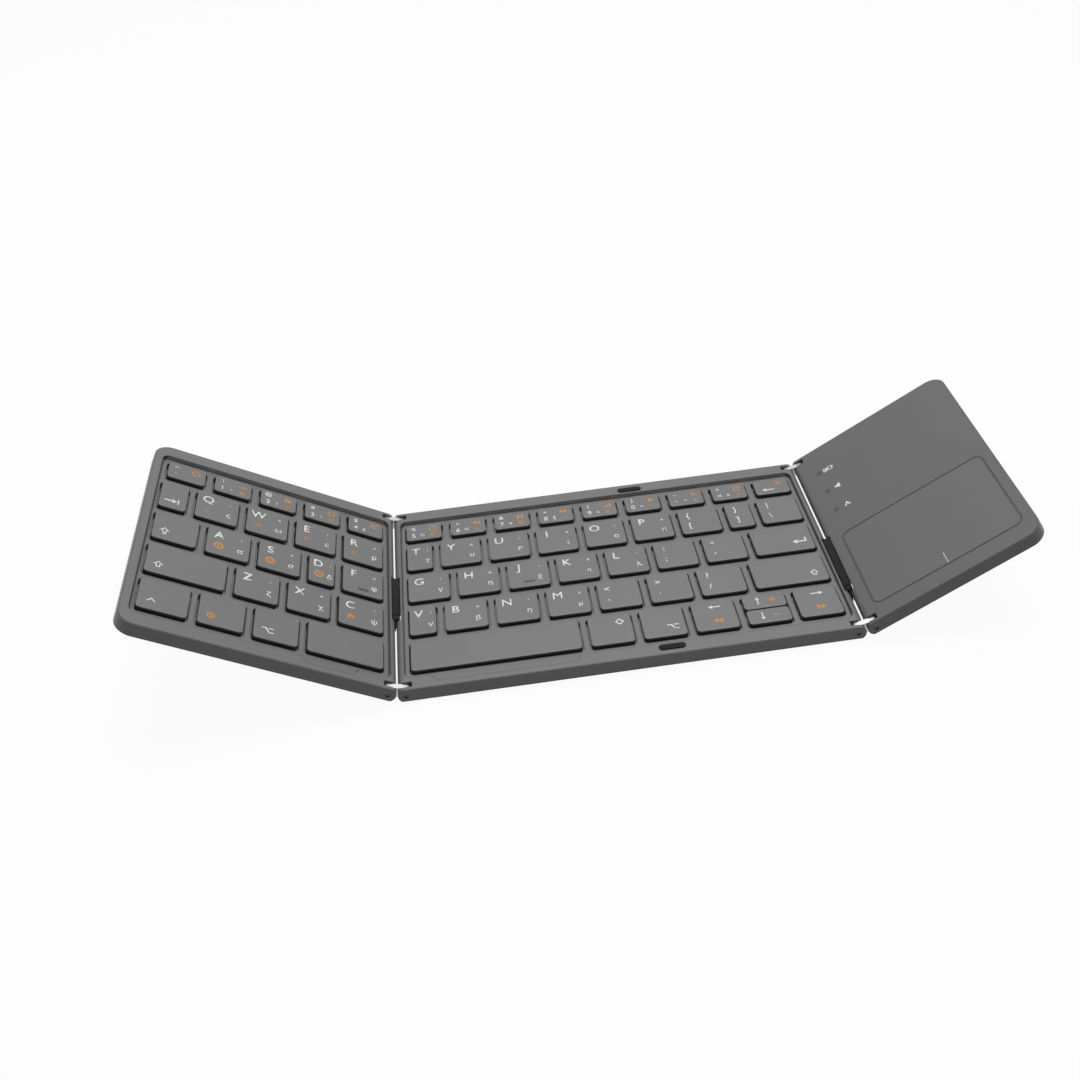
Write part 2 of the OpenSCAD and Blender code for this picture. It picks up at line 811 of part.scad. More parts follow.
module left_dome_sheet() {
    color("gainsboro")
        on_wing(-1)
            dome_sheet(all_left_keys, left_cavity_x0 + seat_clear, -cavity_start - seat_clear);
}

module left_scissors() {
    on_wing(-1)
        scissors(all_left_keys);
}

module left_screws() {
    color("dimgray")
        on_wing(-1)
            screws_at(left_screw_points);
}

module left_feet() {
    color(rubber_black)
        on_wing(-1)
            feet_at(left_foot_points);
}

module left_hinge_pins() {
    color("dimgray")
        on_wing(-1)
            pivot_pins(pin_r);
}

// ---------- Right wing ----------

pad_x = pad_inner + pad_w / 2;
pad_y = -depth / 2 + pad_front + pad_d / 2;
skin_z = thickness - skin_t;
right_wall = 1.6;
right_cavity_x1 = right_wing_w - right_wall;
right_cavity_y = depth / 2 - right_wall - 3;
window_y0 = depth / 2 - window_rear;
battery_x = right_cavity_x1 - battery_w / 2 - 0.8;
battery_y = right_cavity_y - battery_d / 2 - 0.8;
battery_front = battery_y - battery_d / 2;
socket_y = battery_front - 0.5 - socket_tab - socket_w / 2;
socket_x0 = right_wing_w - 0.4 - socket_d;
socket_z = cover_t + 0.05;
board_x0 = cavity_start + 0.3;
board_arm_w = 6.2;
board_z = cover_t;
led_h = 0.5;
right_screw_points =
    [for (x = [screw_inner, right_wing_w - screw_inner], y = [-1, 1]) [x, y * screw_y]];
right_foot_points = [for (y = [-1, 1]) [right_wing_w - foot_inset, y * (depth / 2 - foot_inset)]];

module right_cover_outline(inset) {
    intersection() {
        wing_outline(1, right_wing_w, cover_lip + inset);
        band(3.2 + inset, right_wing_w, depth / 2);
    }
}

module right_top_cover() {
    color(rim_grey)
        on_wing(1)
            difference() {
                union() {
                    linear_extrude(thickness)
                        wing_outline(1, right_wing_w, 0);
                    nose();
                }
                wing_edge_cuts(1, right_wing_w);
                hollow(cavity_start, right_cavity_x1, right_cavity_y, skin_z)
                    right_cover_outline(0);
                translate([pad_x, pad_y, skin_z - eps])
                    linear_extrude(skin_t + 1)
                        round_rect(pad_w + 2 * pad_groove, pad_d + 2 * pad_groove,
                                   pad_r + pad_groove);
                for (i = [0 : 2])
                    translate([window_x, window_y0 - i * window_pitch, skin_z - eps])
                        cylinder(r = window_r, h = skin_t + 1, $fn = 24);
                translate([right_cavity_x1 - 1, socket_y - socket_w / 2, cover_t])
                    cube([right_wall + 2, socket_w, socket_h]);
                link_slots(-1);
                pin_holes();
                sleeve_cut(-1, right_sleeve_l, right_sleeve_y);
                screw_holes(right_screw_points);
            }
}

module right_bottom_cover() {
    color(cover_grey)
        on_wing(1)
            difference() {
                linear_extrude(cover_t)
                    right_cover_outline(seat_clear);
                screw_holes(right_screw_points);
                foot_seats(right_foot_points);
            }
}

module touchpad() {
    color([0.46, 0.46, 0.46])
        on_wing(1)
            translate([pad_x, pad_y, thickness - pad_t])
                linear_extrude(pad_t)
                    round_rect(pad_w, pad_d, pad_r);
}

sensor_inset = 1;
module touchpad_sensor_board() {
    color(board_green)
        on_wing(1)
            translate([pad_x, pad_y, thickness - pad_t - sensor_t])
                linear_extrude(sensor_t)
                    round_rect(pad_w - 2 * sensor_inset, pad_d - 2 * sensor_inset, pad_r);
}

// Main board: a plate under the touchpad with an arm along the hinge for the indicators
board_front = 1 - right_cavity_y;
board_rear = battery_front - 0.4;
board_arm_rear = window_y0 + 4;
module main_board() {
    color(board_green)
        on_wing(1) {
            translate([0, 0, board_z]) {
                linear_extrude(board_t)
                    difference() {
                        union() {
                            translate([board_x0, board_front])
                                square([right_cavity_x1 - 0.3 - board_x0,
                                        board_rear - board_front]);
                            translate([board_x0, board_front])
                                square([board_arm_w, board_arm_rear - board_front]);
                        }
                        // Notch in which the charging socket lies
                        translate([socket_x0 - seat_clear, socket_y - socket_w / 2])
                            square([socket_d + 1, socket_w]);
                    }
                // Controller and radio chips
                for (chip = [[14, -32, 7], [30, -18, 6], [16, -14, 4]])
                    translate([chip[0], chip[1], board_t - eps])
                        linear_extrude(0.8 + eps)
                            square(chip[2], center = true);
                // Lamps under the indicator windows
                for (i = [0 : 2])
                    translate([window_x, window_y0 - i * window_pitch, board_t - eps])
                        linear_extrude(led_h + eps)
                            square([1.6, 1], center = true);
            }
        }
}

switch_front = 5;
switch_gap = 0.45;
switch_h = thickness - pad_t - sensor_t - board_z - board_t - switch_gap;
module touchpad_switch() {
    color("silver")
        on_wing(1)
            translate([pad_x, pad_y - pad_d / 2 + switch_front, board_z + board_t]) {
                linear_extrude(switch_h - 0.2)
                    square([4, 3], center = true);
                cylinder(r = 0.9, h = switch_h, $fn = 24);
            }
}

module battery() {
    color("lightsteelblue")
        on_wing(1)
            translate([battery_x, battery_y, cover_t])
                linear_extrude(battery_t)
                    round_rect(battery_w, battery_d, 1);
}

// Steel shell sunk into the board's notch, held by two tabs, with a tongue inside
module charging_socket() {
    shell_h = socket_h - seat_clear;
    shell_w = socket_w - 2 * seat_clear;
    socket_wall = 0.35;
    color("silver")
        on_wing(1)
            translate([socket_x0, socket_y, socket_z]) {
                difference() {
                    translate([0, -shell_w / 2, 0])
                        cube([socket_d, shell_w, shell_h]);
                    translate([0.6, socket_wall - shell_w / 2, socket_wall])
                        cube([socket_d, shell_w - 2 * socket_wall, shell_h - 2 * socket_wall]);
                }
                translate([0.6 - eps, 1.2 - shell_w / 2, shell_h / 2 - 0.3])
                    cube([socket_d - 1.6, shell_w - 2.4, 0.6]);
                for (y = [-1, 1])
                    translate([1.2, y * (shell_w + socket_tab - eps) / 2,
                               board_z + board_t - socket_z + 0.15])
                        cube([1.6, socket_tab + eps, 0.3], center = true);
            }
}

module indicator_windows() {
    window_z = board_z + board_t + led_h;
    color("dimgray")
        on_wing(1)
            for (i = [0 : 2])
                translate([window_x, window_y0 - i * window_pitch, window_z])
                    cylinder(r = window_r, h = thickness - window_z, $fn = 24);
}

module right_screws() {
    color("dimgray")
        on_wing(1)
            screws_at(right_screw_points);
}

module right_feet() {
    color(rubber_black)
        on_wing(1)
            feet_at(right_foot_points);
}

module right_hinge_pins() {
    color("dimgray")
        on_wing(1)
            pivot_pins(pin_r);
}

// ---------- Hinges ----------

// Outline of one link plate in its own frame
module link_outline(side) {
    difference() {
        union() {
            for (x = [0, 1])
                translate([x * side * link_pitch, 0])
                    circle(link_r);
            translate([side < 0 ? -link_pitch : 0, -link_r])
                square([link_pitch, 2 * link_r]);
        }
        for (x = [0, 1])
            translate([x * side * link_pitch, 0])
                circle(pin_r + pin_clear, $fn = 32);
    }
}

module hinge_links(side) {
    color(link_silver)
        on_link(side)
            for (y = [-1, 1])
                translate([0, y * (depth / 2 - link_wall - link_clear - link_t / 2), 0])
                    rotate([90, 0, 0])
                        linear_extrude(link_t, center = true)
                            link_outline(side);
}

sleeve_top = 2.1;
sleeve_bottom = -1.4;
sleeve_r = 0.6;
tongue_t = fold_gap - 0.24;

// Rubber sleeve round the flat cable, with a thin tongue running on to the front
module cable_sleeve(side, sleeve_l, sleeve_y) {
    mid = side * link_pitch / 2;
    h = sleeve_top - sleeve_bottom;
    color(rubber_black)
        on_link(side)
            difference() {
                union() {
                    translate([mid, sleeve_y, (sleeve_top + sleeve_bottom) / 2])
                        rotate([90, 0, 0])
                            linear_extrude(sleeve_l, center = true)
                                round_rect(sleeve_w, h, sleeve_r);
                    translate([mid - tongue_t / 2, sleeve_y - sleeve_l / 2 - tongue_l, -1])
                        cube([tongue_t, tongue_l + 1, 2]);
                }
                translate([mid, sleeve_y, 0])
                    cube([sleeve_w + 1, cable_w(sleeve_l) + 0.2, cable_t + 0.1], center = true);
            }
}

cable_reach = 1.1;
// Flat cable: a level stretch on the link and a short end in each panel's window
module flex_cable(side, sleeve_l, sleeve_y) {
    w = cable_w(sleeve_l);
    color("goldenrod")
        on_link(side) {
            translate([side * link_pitch / 2, sleeve_y, 0])
                cube([link_pitch, w, cable_t], center = true);
            for (end = [0, 1])
                translate([end * side * link_pitch, sleeve_y, 0]) {
                    rotate([90, 0, 0])
                        cylinder(r = cable_t / 2, h = w, center = true, $fn = 16);
                    rotate([0, side * (end == 0 ? link_angle : -wing_angle), 0])
                        translate([side * (end == 0 ? -1 : 1) * cable_reach / 2, 0, 0])
                            cube([cable_reach, w, cable_t], center = true);
                }
        }
}

module left_hinge_links() { hinge_links(-1); }
module right_hinge_links() { hinge_links(1); }
module left_cable_sleeve() { cable_sleeve(-1, left_sleeve_l, left_sleeve_y); }
module right_cable_sleeve() { cable_sleeve(1, right_sleeve_l, right_sleeve_y); }
module left_flex_cable() { flex_cable(-1, left_sleeve_l, left_sleeve_y); }
module right_flex_cable() { flex_cable(1, right_sleeve_l, right_sleeve_y); }

// ---------- Key caps ----------

module escape_key() { on_wing(-1) caps(left_keys(0, 0, 0)); }
module left_number_keys() { on_wing(-1) caps(left_keys(0, 1, 4)); }
module tab_key() { on_wing(-1) caps(left_keys(1, 0, 0)); }
module left_top_letter_keys() { on_wing(-1) caps(left_keys(1, 1, 4)); }
module caps_lock_key() { on_wing(-1) caps(left_keys(2, 0, 0)); }
module left_home_letter_keys() {
    on_wing(-1) {
        caps(left_keys(2, 1, 4));
        homing_bar(left_key(2, 4));
    }
}
module left_shift_key() { on_wing(-1) caps(left_keys(3, 0, 0)); }
module left_bottom_letter_keys() { on_wing(-1) caps(left_keys(3, 1, 3)); }
module left_modifier_keys() { on_wing(-1) caps(left_keys(4, 0, 2)); }
module left_space_key() { on_wing(-1) caps(left_keys(4, 3, 3)); }
module right_number_keys() { caps(centre_keys(0, 0, 7)); }
module backspace_key() { caps(centre_keys(0, 8, 8)); }
module right_top_letter_keys() { caps(centre_keys(1, 0, 8)); }
module right_home_letter_keys() {
    caps(centre_keys(2, 0, 6));
    homing_bar(centre_key(2, 2));
}
module enter_key() { caps(centre_keys(2, 7, 7)); }
module right_bottom_letter_keys() { caps(centre_keys(3, 0, 6)); }
module right_shift_key() { caps(centre_keys(3, 7, 7)); }
module right_space_key() { caps(centre_keys(4, 0, 0)); }
module right_modifier_keys() { caps(centre_keys(4, 1, 2)); }
module arrow_left_key() { caps(centre_keys(4, 3, 3)); }
module arrow_up_key() { caps([arrow_half(1)]); }
module arrow_down_key() { caps([arrow_half(-1)]); }
module arrow_right_key() { caps(centre_keys(4, 5, 5)); }

centre_frame();
centre_bottom_cover();
centre_support_plate();
centre_circuit_sheet();
centre_dome_sheet();
centre_scissors();
centre_screws();
centre_feet();
bumper_pads();
centre_hinge_pins();
left_frame();
left_bottom_cover();
left_support_plate();
left_circuit_sheet();
left_dome_sheet();
left_scissors();
left_screws();
left_feet();
left_hinge_pins();
right_top_cover();
right_bottom_cover();
touchpad();
touchpad_sensor_board();
touchpad_switch();
main_board();
battery();
charging_socket();
indicator_windows();
right_screws();
right_feet();
right_hinge_pins();
left_hinge_links();
left_cable_sleeve();
left_flex_cable();
right_hinge_links();
right_cable_sleeve();
right_flex_cable();
escape_key();
left_number_keys();
tab_key();
left_top_letter_keys();
caps_lock_key();
left_home_letter_keys();
left_shift_key();
left_bottom_letter_keys();
left_modifier_keys();
left_space_key();
right_number_keys();
backspace_key();
right_top_letter_keys();
right_home_letter_keys();
enter_key();
right_bottom_letter_keys();
right_shift_key();
right_space_key();
right_modifier_keys();
arrow_left_key();
arrow_up_key();
arrow_down_key();
arrow_right_key();
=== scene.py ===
import json
import math

import bmesh
import bpy
from mathutils import Matrix, Vector


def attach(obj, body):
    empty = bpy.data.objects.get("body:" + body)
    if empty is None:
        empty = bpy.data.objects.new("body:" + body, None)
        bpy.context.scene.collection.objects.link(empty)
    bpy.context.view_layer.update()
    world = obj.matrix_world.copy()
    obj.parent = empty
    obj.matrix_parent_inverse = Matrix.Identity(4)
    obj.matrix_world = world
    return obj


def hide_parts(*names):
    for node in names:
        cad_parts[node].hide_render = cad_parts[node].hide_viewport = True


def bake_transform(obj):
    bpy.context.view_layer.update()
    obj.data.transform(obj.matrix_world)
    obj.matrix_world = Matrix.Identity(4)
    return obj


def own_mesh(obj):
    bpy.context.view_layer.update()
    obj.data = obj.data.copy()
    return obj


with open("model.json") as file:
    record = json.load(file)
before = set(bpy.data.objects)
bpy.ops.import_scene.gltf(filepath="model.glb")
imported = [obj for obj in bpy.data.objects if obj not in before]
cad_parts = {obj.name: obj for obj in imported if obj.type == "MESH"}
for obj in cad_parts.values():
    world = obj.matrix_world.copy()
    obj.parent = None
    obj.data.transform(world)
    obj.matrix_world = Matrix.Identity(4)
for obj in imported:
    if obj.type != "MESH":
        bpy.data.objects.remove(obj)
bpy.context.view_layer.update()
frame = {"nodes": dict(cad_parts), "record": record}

MM = 0.001


# ---------- Camera, table and light ----------
# The keyboard lies on a white table under one large soft lamp. The camera looks down on
# it from the front left, with the long lens and the shifted frame of the photograph.

CAMERA_PLACE = Vector((-38.244, -358.699, 298.399)) * MM
CAMERA_TURN = [math.radians(degrees) for degrees in (52.66, 3.963, -7.197)]
FOCAL_LENGTH = 42.91
SENSOR_WIDTH = 36
FRAME_SHIFT = (-0.0332, -0.0115)
NEAREST_SEEN = 0.01
TABLE_HEIGHT = -0.8 * MM
TABLE_HALF_WIDTH = 2.0
TABLE_GLOW = 0.95
WALL_GLOW = 0.07
WHITE = (1, 1, 1, 1)


def linear(hex_colour):
    """The linear RGBA of an sRGB hex colour."""
    channels = [int(hex_colour[i:i + 2], 16) / 255 for i in (1, 3, 5)]
    return tuple(
        c / 12.92 if c <= 0.04045 else ((c + 0.055) / 1.055) ** 2.4 for c in channels
    ) + (1.0,)


def add(tree, kind, sockets=None, **settings):
    """A node of this kind, with its settings, socket values and links. A node given as a
    value stands for its first output."""
    made = tree.nodes.new(kind)
    for name, value in settings.items():
        setattr(made, name, value)
    for socket, value in (sockets or {}).items():
        if isinstance(value, bpy.types.Node):
            value = value.outputs[0]
        if isinstance(value, bpy.types.NodeSocket):
            tree.links.new(value, made.inputs[socket])
        else:
            made.inputs[socket].default_value = value
    return made


def blank_tree(owner):
    """The emptied node tree of a new material or world."""
    owner.use_nodes = True
    owner.node_tree.nodes.clear()
    return owner.node_tree


def blank_material(name):
    """A new material and its emptied node tree."""
    made = bpy.data.materials.new(name)
    return made, blank_tree(made)


def give_surface(tree, values):
    """Covers a material with one surface that has these values."""
    surface = add(tree, "ShaderNodeBsdfPrincipled", values)
    add(tree, "ShaderNodeOutputMaterial", {"Surface": surface})


def reckon(tree, operation, *values):
    """A node that adds, multiplies or compares these values."""
    return add(tree, "ShaderNodeMath", dict(enumerate(values)), operation=operation)


def place(name, mesh):
    """An object at the origin that shows this mesh."""
    made = bpy.data.objects.new(name, mesh)
    bpy.context.scene.collection.objects.link(made)
    return made


camera_lens = bpy.data.cameras.new("camera")
camera_lens.lens = FOCAL_LENGTH
camera_lens.sensor_width = SENSOR_WIDTH
camera_lens.shift_x, camera_lens.shift_y = FRAME_SHIFT
camera_lens.clip_start = NEAREST_SEEN
camera = place("camera", camera_lens)
camera.location = CAMERA_PLACE
camera.rotation_euler = CAMERA_TURN
bpy.context.scene.camera = camera
bpy.context.scene.view_settings.view_transform = "Standard"

# White laminate table: what the camera sees is nearly white, and it keeps a soft shadow.
# Only its upper face is there, so that the keyboard can be looked at from below.
laminate, tree = blank_material("white_laminate")
path = add(tree, "ShaderNodeLightPath").outputs
seen = reckon(tree, "MAXIMUM", path["Is Camera Ray"], path["Is Glossy Ray"])
seen_share = reckon(tree, "MULTIPLY", seen, TABLE_GLOW)
board_white = add(tree, "ShaderNodeMix", {
    "Factor": seen, 6: linear("#9A9A9A"), 7: linear("#F4F4F4")}, data_type="RGBA")
board = add(tree, "ShaderNodeBsdfPrincipled", {
    "Base Color": board_white.outputs[2], "Roughness": 0.6})
glow = add(tree, "ShaderNodeEmission", {"Color": WHITE, "Strength": 1.0})
both = add(tree, "ShaderNodeMixShader", {0: seen_share, 1: board, 2: glow})
below = add(tree, "ShaderNodeNewGeometry").outputs["Backfacing"]
clear = add(tree, "ShaderNodeBsdfTransparent")
one_sided = add(tree, "ShaderNodeMixShader", {0: below, 1: both, 2: clear})
add(tree, "ShaderNodeOutputMaterial", {"Surface": one_sided})

table_mesh = bpy.data.meshes.new("table")
table_corners = [(x * TABLE_HALF_WIDTH, y * TABLE_HALF_WIDTH, TABLE_HEIGHT)
                 for x, y in ((-1, -1), (1, -1), (1, 1), (-1, 1))]
table_mesh.from_pydata(table_corners, [], [(0, 1, 2, 3)])
table_mesh.materials.append(laminate)
table = place("table", table_mesh)

world = bpy.data.worlds.new("studio")
bpy.context.scene.world = world
tree = blank_tree(world)
path = add(tree, "ShaderNodeLightPath").outputs
seen = reckon(tree, "MAXIMUM", path["Is Camera Ray"], path["Is Transmission Ray"])
seen = reckon(tree, "MAXIMUM", seen, path["Is Glossy Ray"])
walls = add(tree, "ShaderNodeBackground", {"Color": WHITE, "Strength": WALL_GLOW})
backdrop = add(tree, "ShaderNodeBackground", {"Color": WHITE, "Strength": 1.0})
both = add(tree, "ShaderNodeMixShader", {0: seen, 1: walls, 2: backdrop})
add(tree, "ShaderNodeOutputWorld", {"Surface": both})

for lamp_name, lamp_place, lamp_size, lamp_power in (
        ("softbox_above", (0.1, 0.22, 0.95), 0.7, 8.6),
        ("softbox_front", (-0.3, -1.0, 0.6), 0.6, 0.1)):
    lamp = bpy.data.lights.new(lamp_name, "AREA")
    lamp.size = lamp_size
    lamp.energy = lamp_power
    lamp_object = place(lamp_name, lamp)
    lamp_object.location = lamp_place
    lamp_object.rotation_euler = Vector(lamp_place).to_track_quat("Z", "Y").to_euler()


# ---------- Panel frames ----------
# Each panel's frame is one thin moulding of ABS with a hard satin grey paint. The centre
# and left ones hold the sunk key web, and the right one is a flat lid round the touchpad.

PIVOT_SPAN = 152.0
PIVOT_HEIGHT = 2.55
THICKNESS = 5.3
LINK_PITCH = 6.1
LINK_ANGLE = math.radians(15)
WING_ANGLE = math.radians(30)
LEFT, CENTRE, RIGHT = -1, 0, 1
SIDE_NAMES = {LEFT: "left", CENTRE: "centre", RIGHT: "right"}
FRAME_GREY = "#6F6F6F"
# The lid's grey is a darker copy of the frame's: painted shade for the right wing's lid, which
# the light reaches less
SHADED_LID_GREY = "#636364"
PAINT_GRAIN = 0.25
PAINT_GRAIN_DEPTH = 0.012
PAINT_GRAIN_STRENGTH = 0.35
PAINT_SHARES = (0.96, 1.03)
PAINT_ENDS = (0.3, 0.7)
FRAME_CLOUD_SCALE = 25.0
# Painted shade: the paint colour darkens in inner corners within this reach, and along edges
# within the next one, there partly as rubbed paint
CORNER_SHADE_REACH = 0.8
EDGE_WEAR_AND_SHADE = 0.8
DARKEST_WEAR_AND_SHADE = 0.25


def standing(side):
    """Where a wing drawn flat from its pivot axis outwards stands; metres."""
    if side == CENTRE:
        return Matrix.Identity(4)
    axis = Vector((side * (PIVOT_SPAN / 2 + LINK_PITCH * math.cos(LINK_ANGLE)), 0,
                   PIVOT_HEIGHT + LINK_PITCH * math.sin(LINK_ANGLE))) * MM
    return (Matrix.Translation(axis) @ Matrix.Rotation(-side * WING_ANGLE, 4, "Y")
            @ Matrix.Translation((0, 0, -PIVOT_HEIGHT * MM)))


def grained(tree, grain_mm, depth_mm, strength):
    """Object coordinates, and a bump on them with a fine random grain of that size."""
    spot = add(tree, "ShaderNodeTexCoord").outputs["Object"]
    grain = add(tree, "ShaderNodeTexNoise", {
        "Vector": spot, "Scale": 1 / (grain_mm * MM), "Detail": 2.0})
    return spot, add(tree, "ShaderNodeBump", {
        "Height": grain, "Strength": strength, "Distance": depth_mm * MM})


def mottled(tree, spot, scale, shade, shares, detail=3.0, ends=(0.0, 1.0)):
    """A cloudy noise, and a ramp on it between a darker and a lighter share of a shade."""
    cloud = add(tree, "ShaderNodeTexNoise", {
        "Vector": spot, "Scale": scale, "Detail": detail})
    ramp = add(tree, "ShaderNodeValToRGB", {0: cloud})
    r, g, b, _ = linear(shade)
    for end, position, share in zip(ramp.color_ramp.elements, ends, shares):
        end.position = position
        end.color = (r * share, g * share, b * share, 1)
    return cloud, ramp


def satin_paint(name, shade, roughness=0.42):
    """Satin soft-feel paint on black ABS, sprayed: an even sheen with a faint fine grain.
    It is darker in inner corners, which is painted shade, and along edges, which is partly
    paint rubbed thin to the black and partly painted shade.
    The grain is drawn coarser than the real one, so that it shows."""
    made, tree = blank_material(name)
    spot, bump = grained(tree, PAINT_GRAIN, PAINT_GRAIN_DEPTH, PAINT_GRAIN_STRENGTH)
    cloud, mottle = mottled(tree, spot, FRAME_CLOUD_SCALE, shade, PAINT_SHARES,
                            ends=PAINT_ENDS)
    rub = add(tree, "ShaderNodeMapRange", {
        0: cloud, 3: roughness - 0.03, 4: roughness + 0.04})
    # Painted shade: ambient occlusion darkens the colour in inner corners, and the bevel's
    # edge mask darkens it along edges, there partly as rubbed paint
    eased = add(tree, "ShaderNodeBevel", {"Radius": EDGE_WEAR_AND_SHADE * MM}, samples=6)
    corner = add(tree, "ShaderNodeAmbientOcclusion", {
        "Distance": CORNER_SHADE_REACH * MM}, samples=6)
    true_side = add(tree, "ShaderNodeNewGeometry").outputs["True Normal"]
    flatness = add(tree, "ShaderNodeVectorMath", {
        0: eased, 1: true_side}, operation="DOT_PRODUCT")
    painted_corner_shade, edge_wear_and_shade = [
        add(tree, "ShaderNodeMapRange", {
            0: measure, 1: thinnest, 2: full, 3: DARKEST_WEAR_AND_SHADE, 4: 1.0})
        for measure, thinnest, full in (
            (corner.outputs["AO"], 0.4, 0.95), (flatness.outputs["Value"], 0.85, 0.998))]
    # The share of colour left after the painted corner shade and the edge wear with painted
    # shade
    cover = reckon(tree, "MULTIPLY", painted_corner_shade, edge_wear_and_shade)
    paint_with_shade = add(tree, "ShaderNodeVectorMath", {
        0: mottle, "Scale": cover}, operation="SCALE")
    give_surface(tree, {
        "Base Color": paint_with_shade, "Roughness": rub, "IOR": 1.5, "Normal": bump})
    return made


def finish(node_name, material):
    """Gives a carried-over CAD node its material."""
    for material_slot in frame["nodes"][node_name].material_slots:
        material_slot.material = material


frame_paint = satin_paint("satin_painted_abs", FRAME_GREY)
# The frame paint again in the darker grey: painted shade
shaded_lid_paint = satin_paint("satin_painted_lid", SHADED_LID_GREY, 0.4)
finish("centre_frame", frame_paint)
finish("left_frame", frame_paint)
finish("right_top_cover", shaded_lid_paint)


# ---------- Bottom covers ----------
# Flat trays of dark ABS that close each panel from below, moulded with a fine spark
# texture and held by small screws.

TEXTURE_DEPTH = 0.03
TEXTURE_STRENGTH = 0.5
TEXTURE_CLOUD_SCALE = 60.0


def spark_textured(name, shade, grain_mm, roughness, gloss=0.5):
    """Moulded plastic or rubber with an eroded texture: dull, with a visible grain."""
    made, tree = blank_material(name)
    spot, bump = grained(tree, grain_mm, TEXTURE_DEPTH, TEXTURE_STRENGTH)
    _, tone = mottled(tree, spot, TEXTURE_CLOUD_SCALE, shade, (0.9, 1.1), detail=4.0)
    give_surface(tree, {
        "Base Color": tone, "Roughness": roughness, "IOR": 1.5,
        "Specular IOR Level": gloss, "Normal": bump})
    return made


cover_plastic = spark_textured("spark_textured_abs", "#3E3E3F", 0.3, 0.55)
for cover in ("centre_bottom_cover", "left_bottom_cover", "right_bottom_cover"):
    finish(cover, cover_plastic)


# ---------- Key caps ----------
# Each key is a thin ABS cap with a soft rounded top edge, black in the mould and painted
# grey on top only, so its sides stay dark; their fading darker downwards is also painted
# shade of the gaps between keys. It clips onto a scissor guide below the web.

KEY_PITCH = 18.0
ROW_PITCH = 17.9
KEY_GAP = 3.1
NARROW_KEY = 9.35
WIDE_KEY = 16.0
NUMBER_GAP = 3.5
NUMBER_KEY_DEPTH = 9.35
ARROW_SLIT = 0.5
CAP_HEIGHT = 2.1
CAP_WALL = 0.9
CAP_CORNER = 1.4
CAP_EDGE = 0.32
CAP_FLAT_EDGE = 0.2
CAP_FOOT_INSET, CAP_FOOT_HEIGHT = 0.06, 0.08
PAINT_REACH = 0.85
LEFT_MARGIN = 2.4
CAP_GREY = "#727272"
CAP_BLACK = "#38383A"
CAP_GRAIN = 0.22
CAP_CLOUD_SCALE = 40.0
KEY = KEY_PITCH - KEY_GAP
KEY_DEPTH = ROW_PITCH - KEY_GAP
CENTRE_FIELD = 7 * KEY + 2 * NARROW_KEY + 8 * KEY_GAP
LEFT_FIELD = 4 * KEY + NARROW_KEY + 4 * KEY_GAP
FIELD_DEPTH = 4 * ROW_PITCH + NUMBER_KEY_DEPTH
NUMBER_KEY = (CENTRE_FIELD - 8 * NUMBER_GAP) / 9
FILL = 0

# Widths of the keys from left to right, row by row from the rear. FILL is the room left.
ROWS = {
    LEFT: [[NUMBER_KEY] * 5, [NARROW_KEY] + [KEY] * 4, [KEY, KEY, KEY, NARROW_KEY, KEY],
           [FILL, KEY, KEY, WIDE_KEY], [WIDE_KEY, KEY, KEY, FILL]],
    CENTRE: [[NUMBER_KEY] * 9, [NARROW_KEY] + [KEY] * 6 + [NARROW_KEY, KEY],
             [KEY] * 7 + [FILL], [NARROW_KEY] + [KEY] * 5 + [WIDE_KEY, FILL],
             [FILL] + [KEY] * 5],
}


def key_row(side, row):
    """The keys of one row, each as (centre x, centre y, width, depth) in mm, on its
    panel drawn flat. The up and down arrows share one place."""
    field, left = CENTRE_FIELD, -CENTRE_FIELD / 2
    if side == LEFT:
        field, left = LEFT_FIELD, -LEFT_MARGIN - LEFT_FIELD
    gap = KEY_GAP if row else NUMBER_GAP
    depth = KEY_DEPTH if row else NUMBER_KEY_DEPTH
    widths = ROWS[side][row]
    spare = field - sum(widths) - gap * (len(widths) - 1)
    x = left if row else left + spare
    y = -FIELD_DEPTH / 2 + (4 - row) * ROW_PITCH + depth / 2
    keys = []
    for width in widths:
        width = width or spare
        keys.append((x + width / 2, y, width, depth))
        x += width + gap
    if (side, row) == (CENTRE, 4):
        x, y, width, depth = keys[4]
        depth = (depth - ARROW_SLIT) / 2
        keys[4:5] = [(x, y + way * (depth + ARROW_SLIT) / 2, width, depth)
                     for way in (1, -1)]
    return keys


def outline(width, depth, corner, inset=0.0, steps=5):
    """Points of a rounded rectangle, counter-clockwise, each with the corner it is at."""
    points = []
    for turn, (sx, sy) in enumerate(((1, 1), (-1, 1), (-1, -1), (1, -1))):
        for step in range(steps + 1):
            angle = math.radians(90) * (turn + step / steps)
            points.append((
                sx * (width / 2 - corner) + (corner - inset) * math.cos(angle),
                sy * (depth / 2 - corner) + (corner - inset) * math.sin(angle), sx, sy))
    return points


def lofted(name, rings):
    """A closed mesh through rings of (x, y, z) in mm, with a face on the first and last."""
    count = len(rings[0])
    points = [(x * MM, y * MM, z * MM) for ring in rings for x, y, z in ring]
    faces = [tuple(reversed(range(count)))]
    for low in range(0, len(points) - count, count):
        faces += [(low + i, low + (i + 1) % count, low + count + (i + 1) % count,
                   low + count + i) for i in range(count)]
    faces.append(tuple(range(len(points) - count, len(points))))
    mesh = bpy.data.meshes.new(name)
    mesh.from_pydata(points, [], faces)
    return mesh


def note(mesh, name, values):
    """Keeps one number for each point of a mesh under a name."""
    mesh.attributes.new(name, "FLOAT", "POINT").data.foreach_set("value", values)


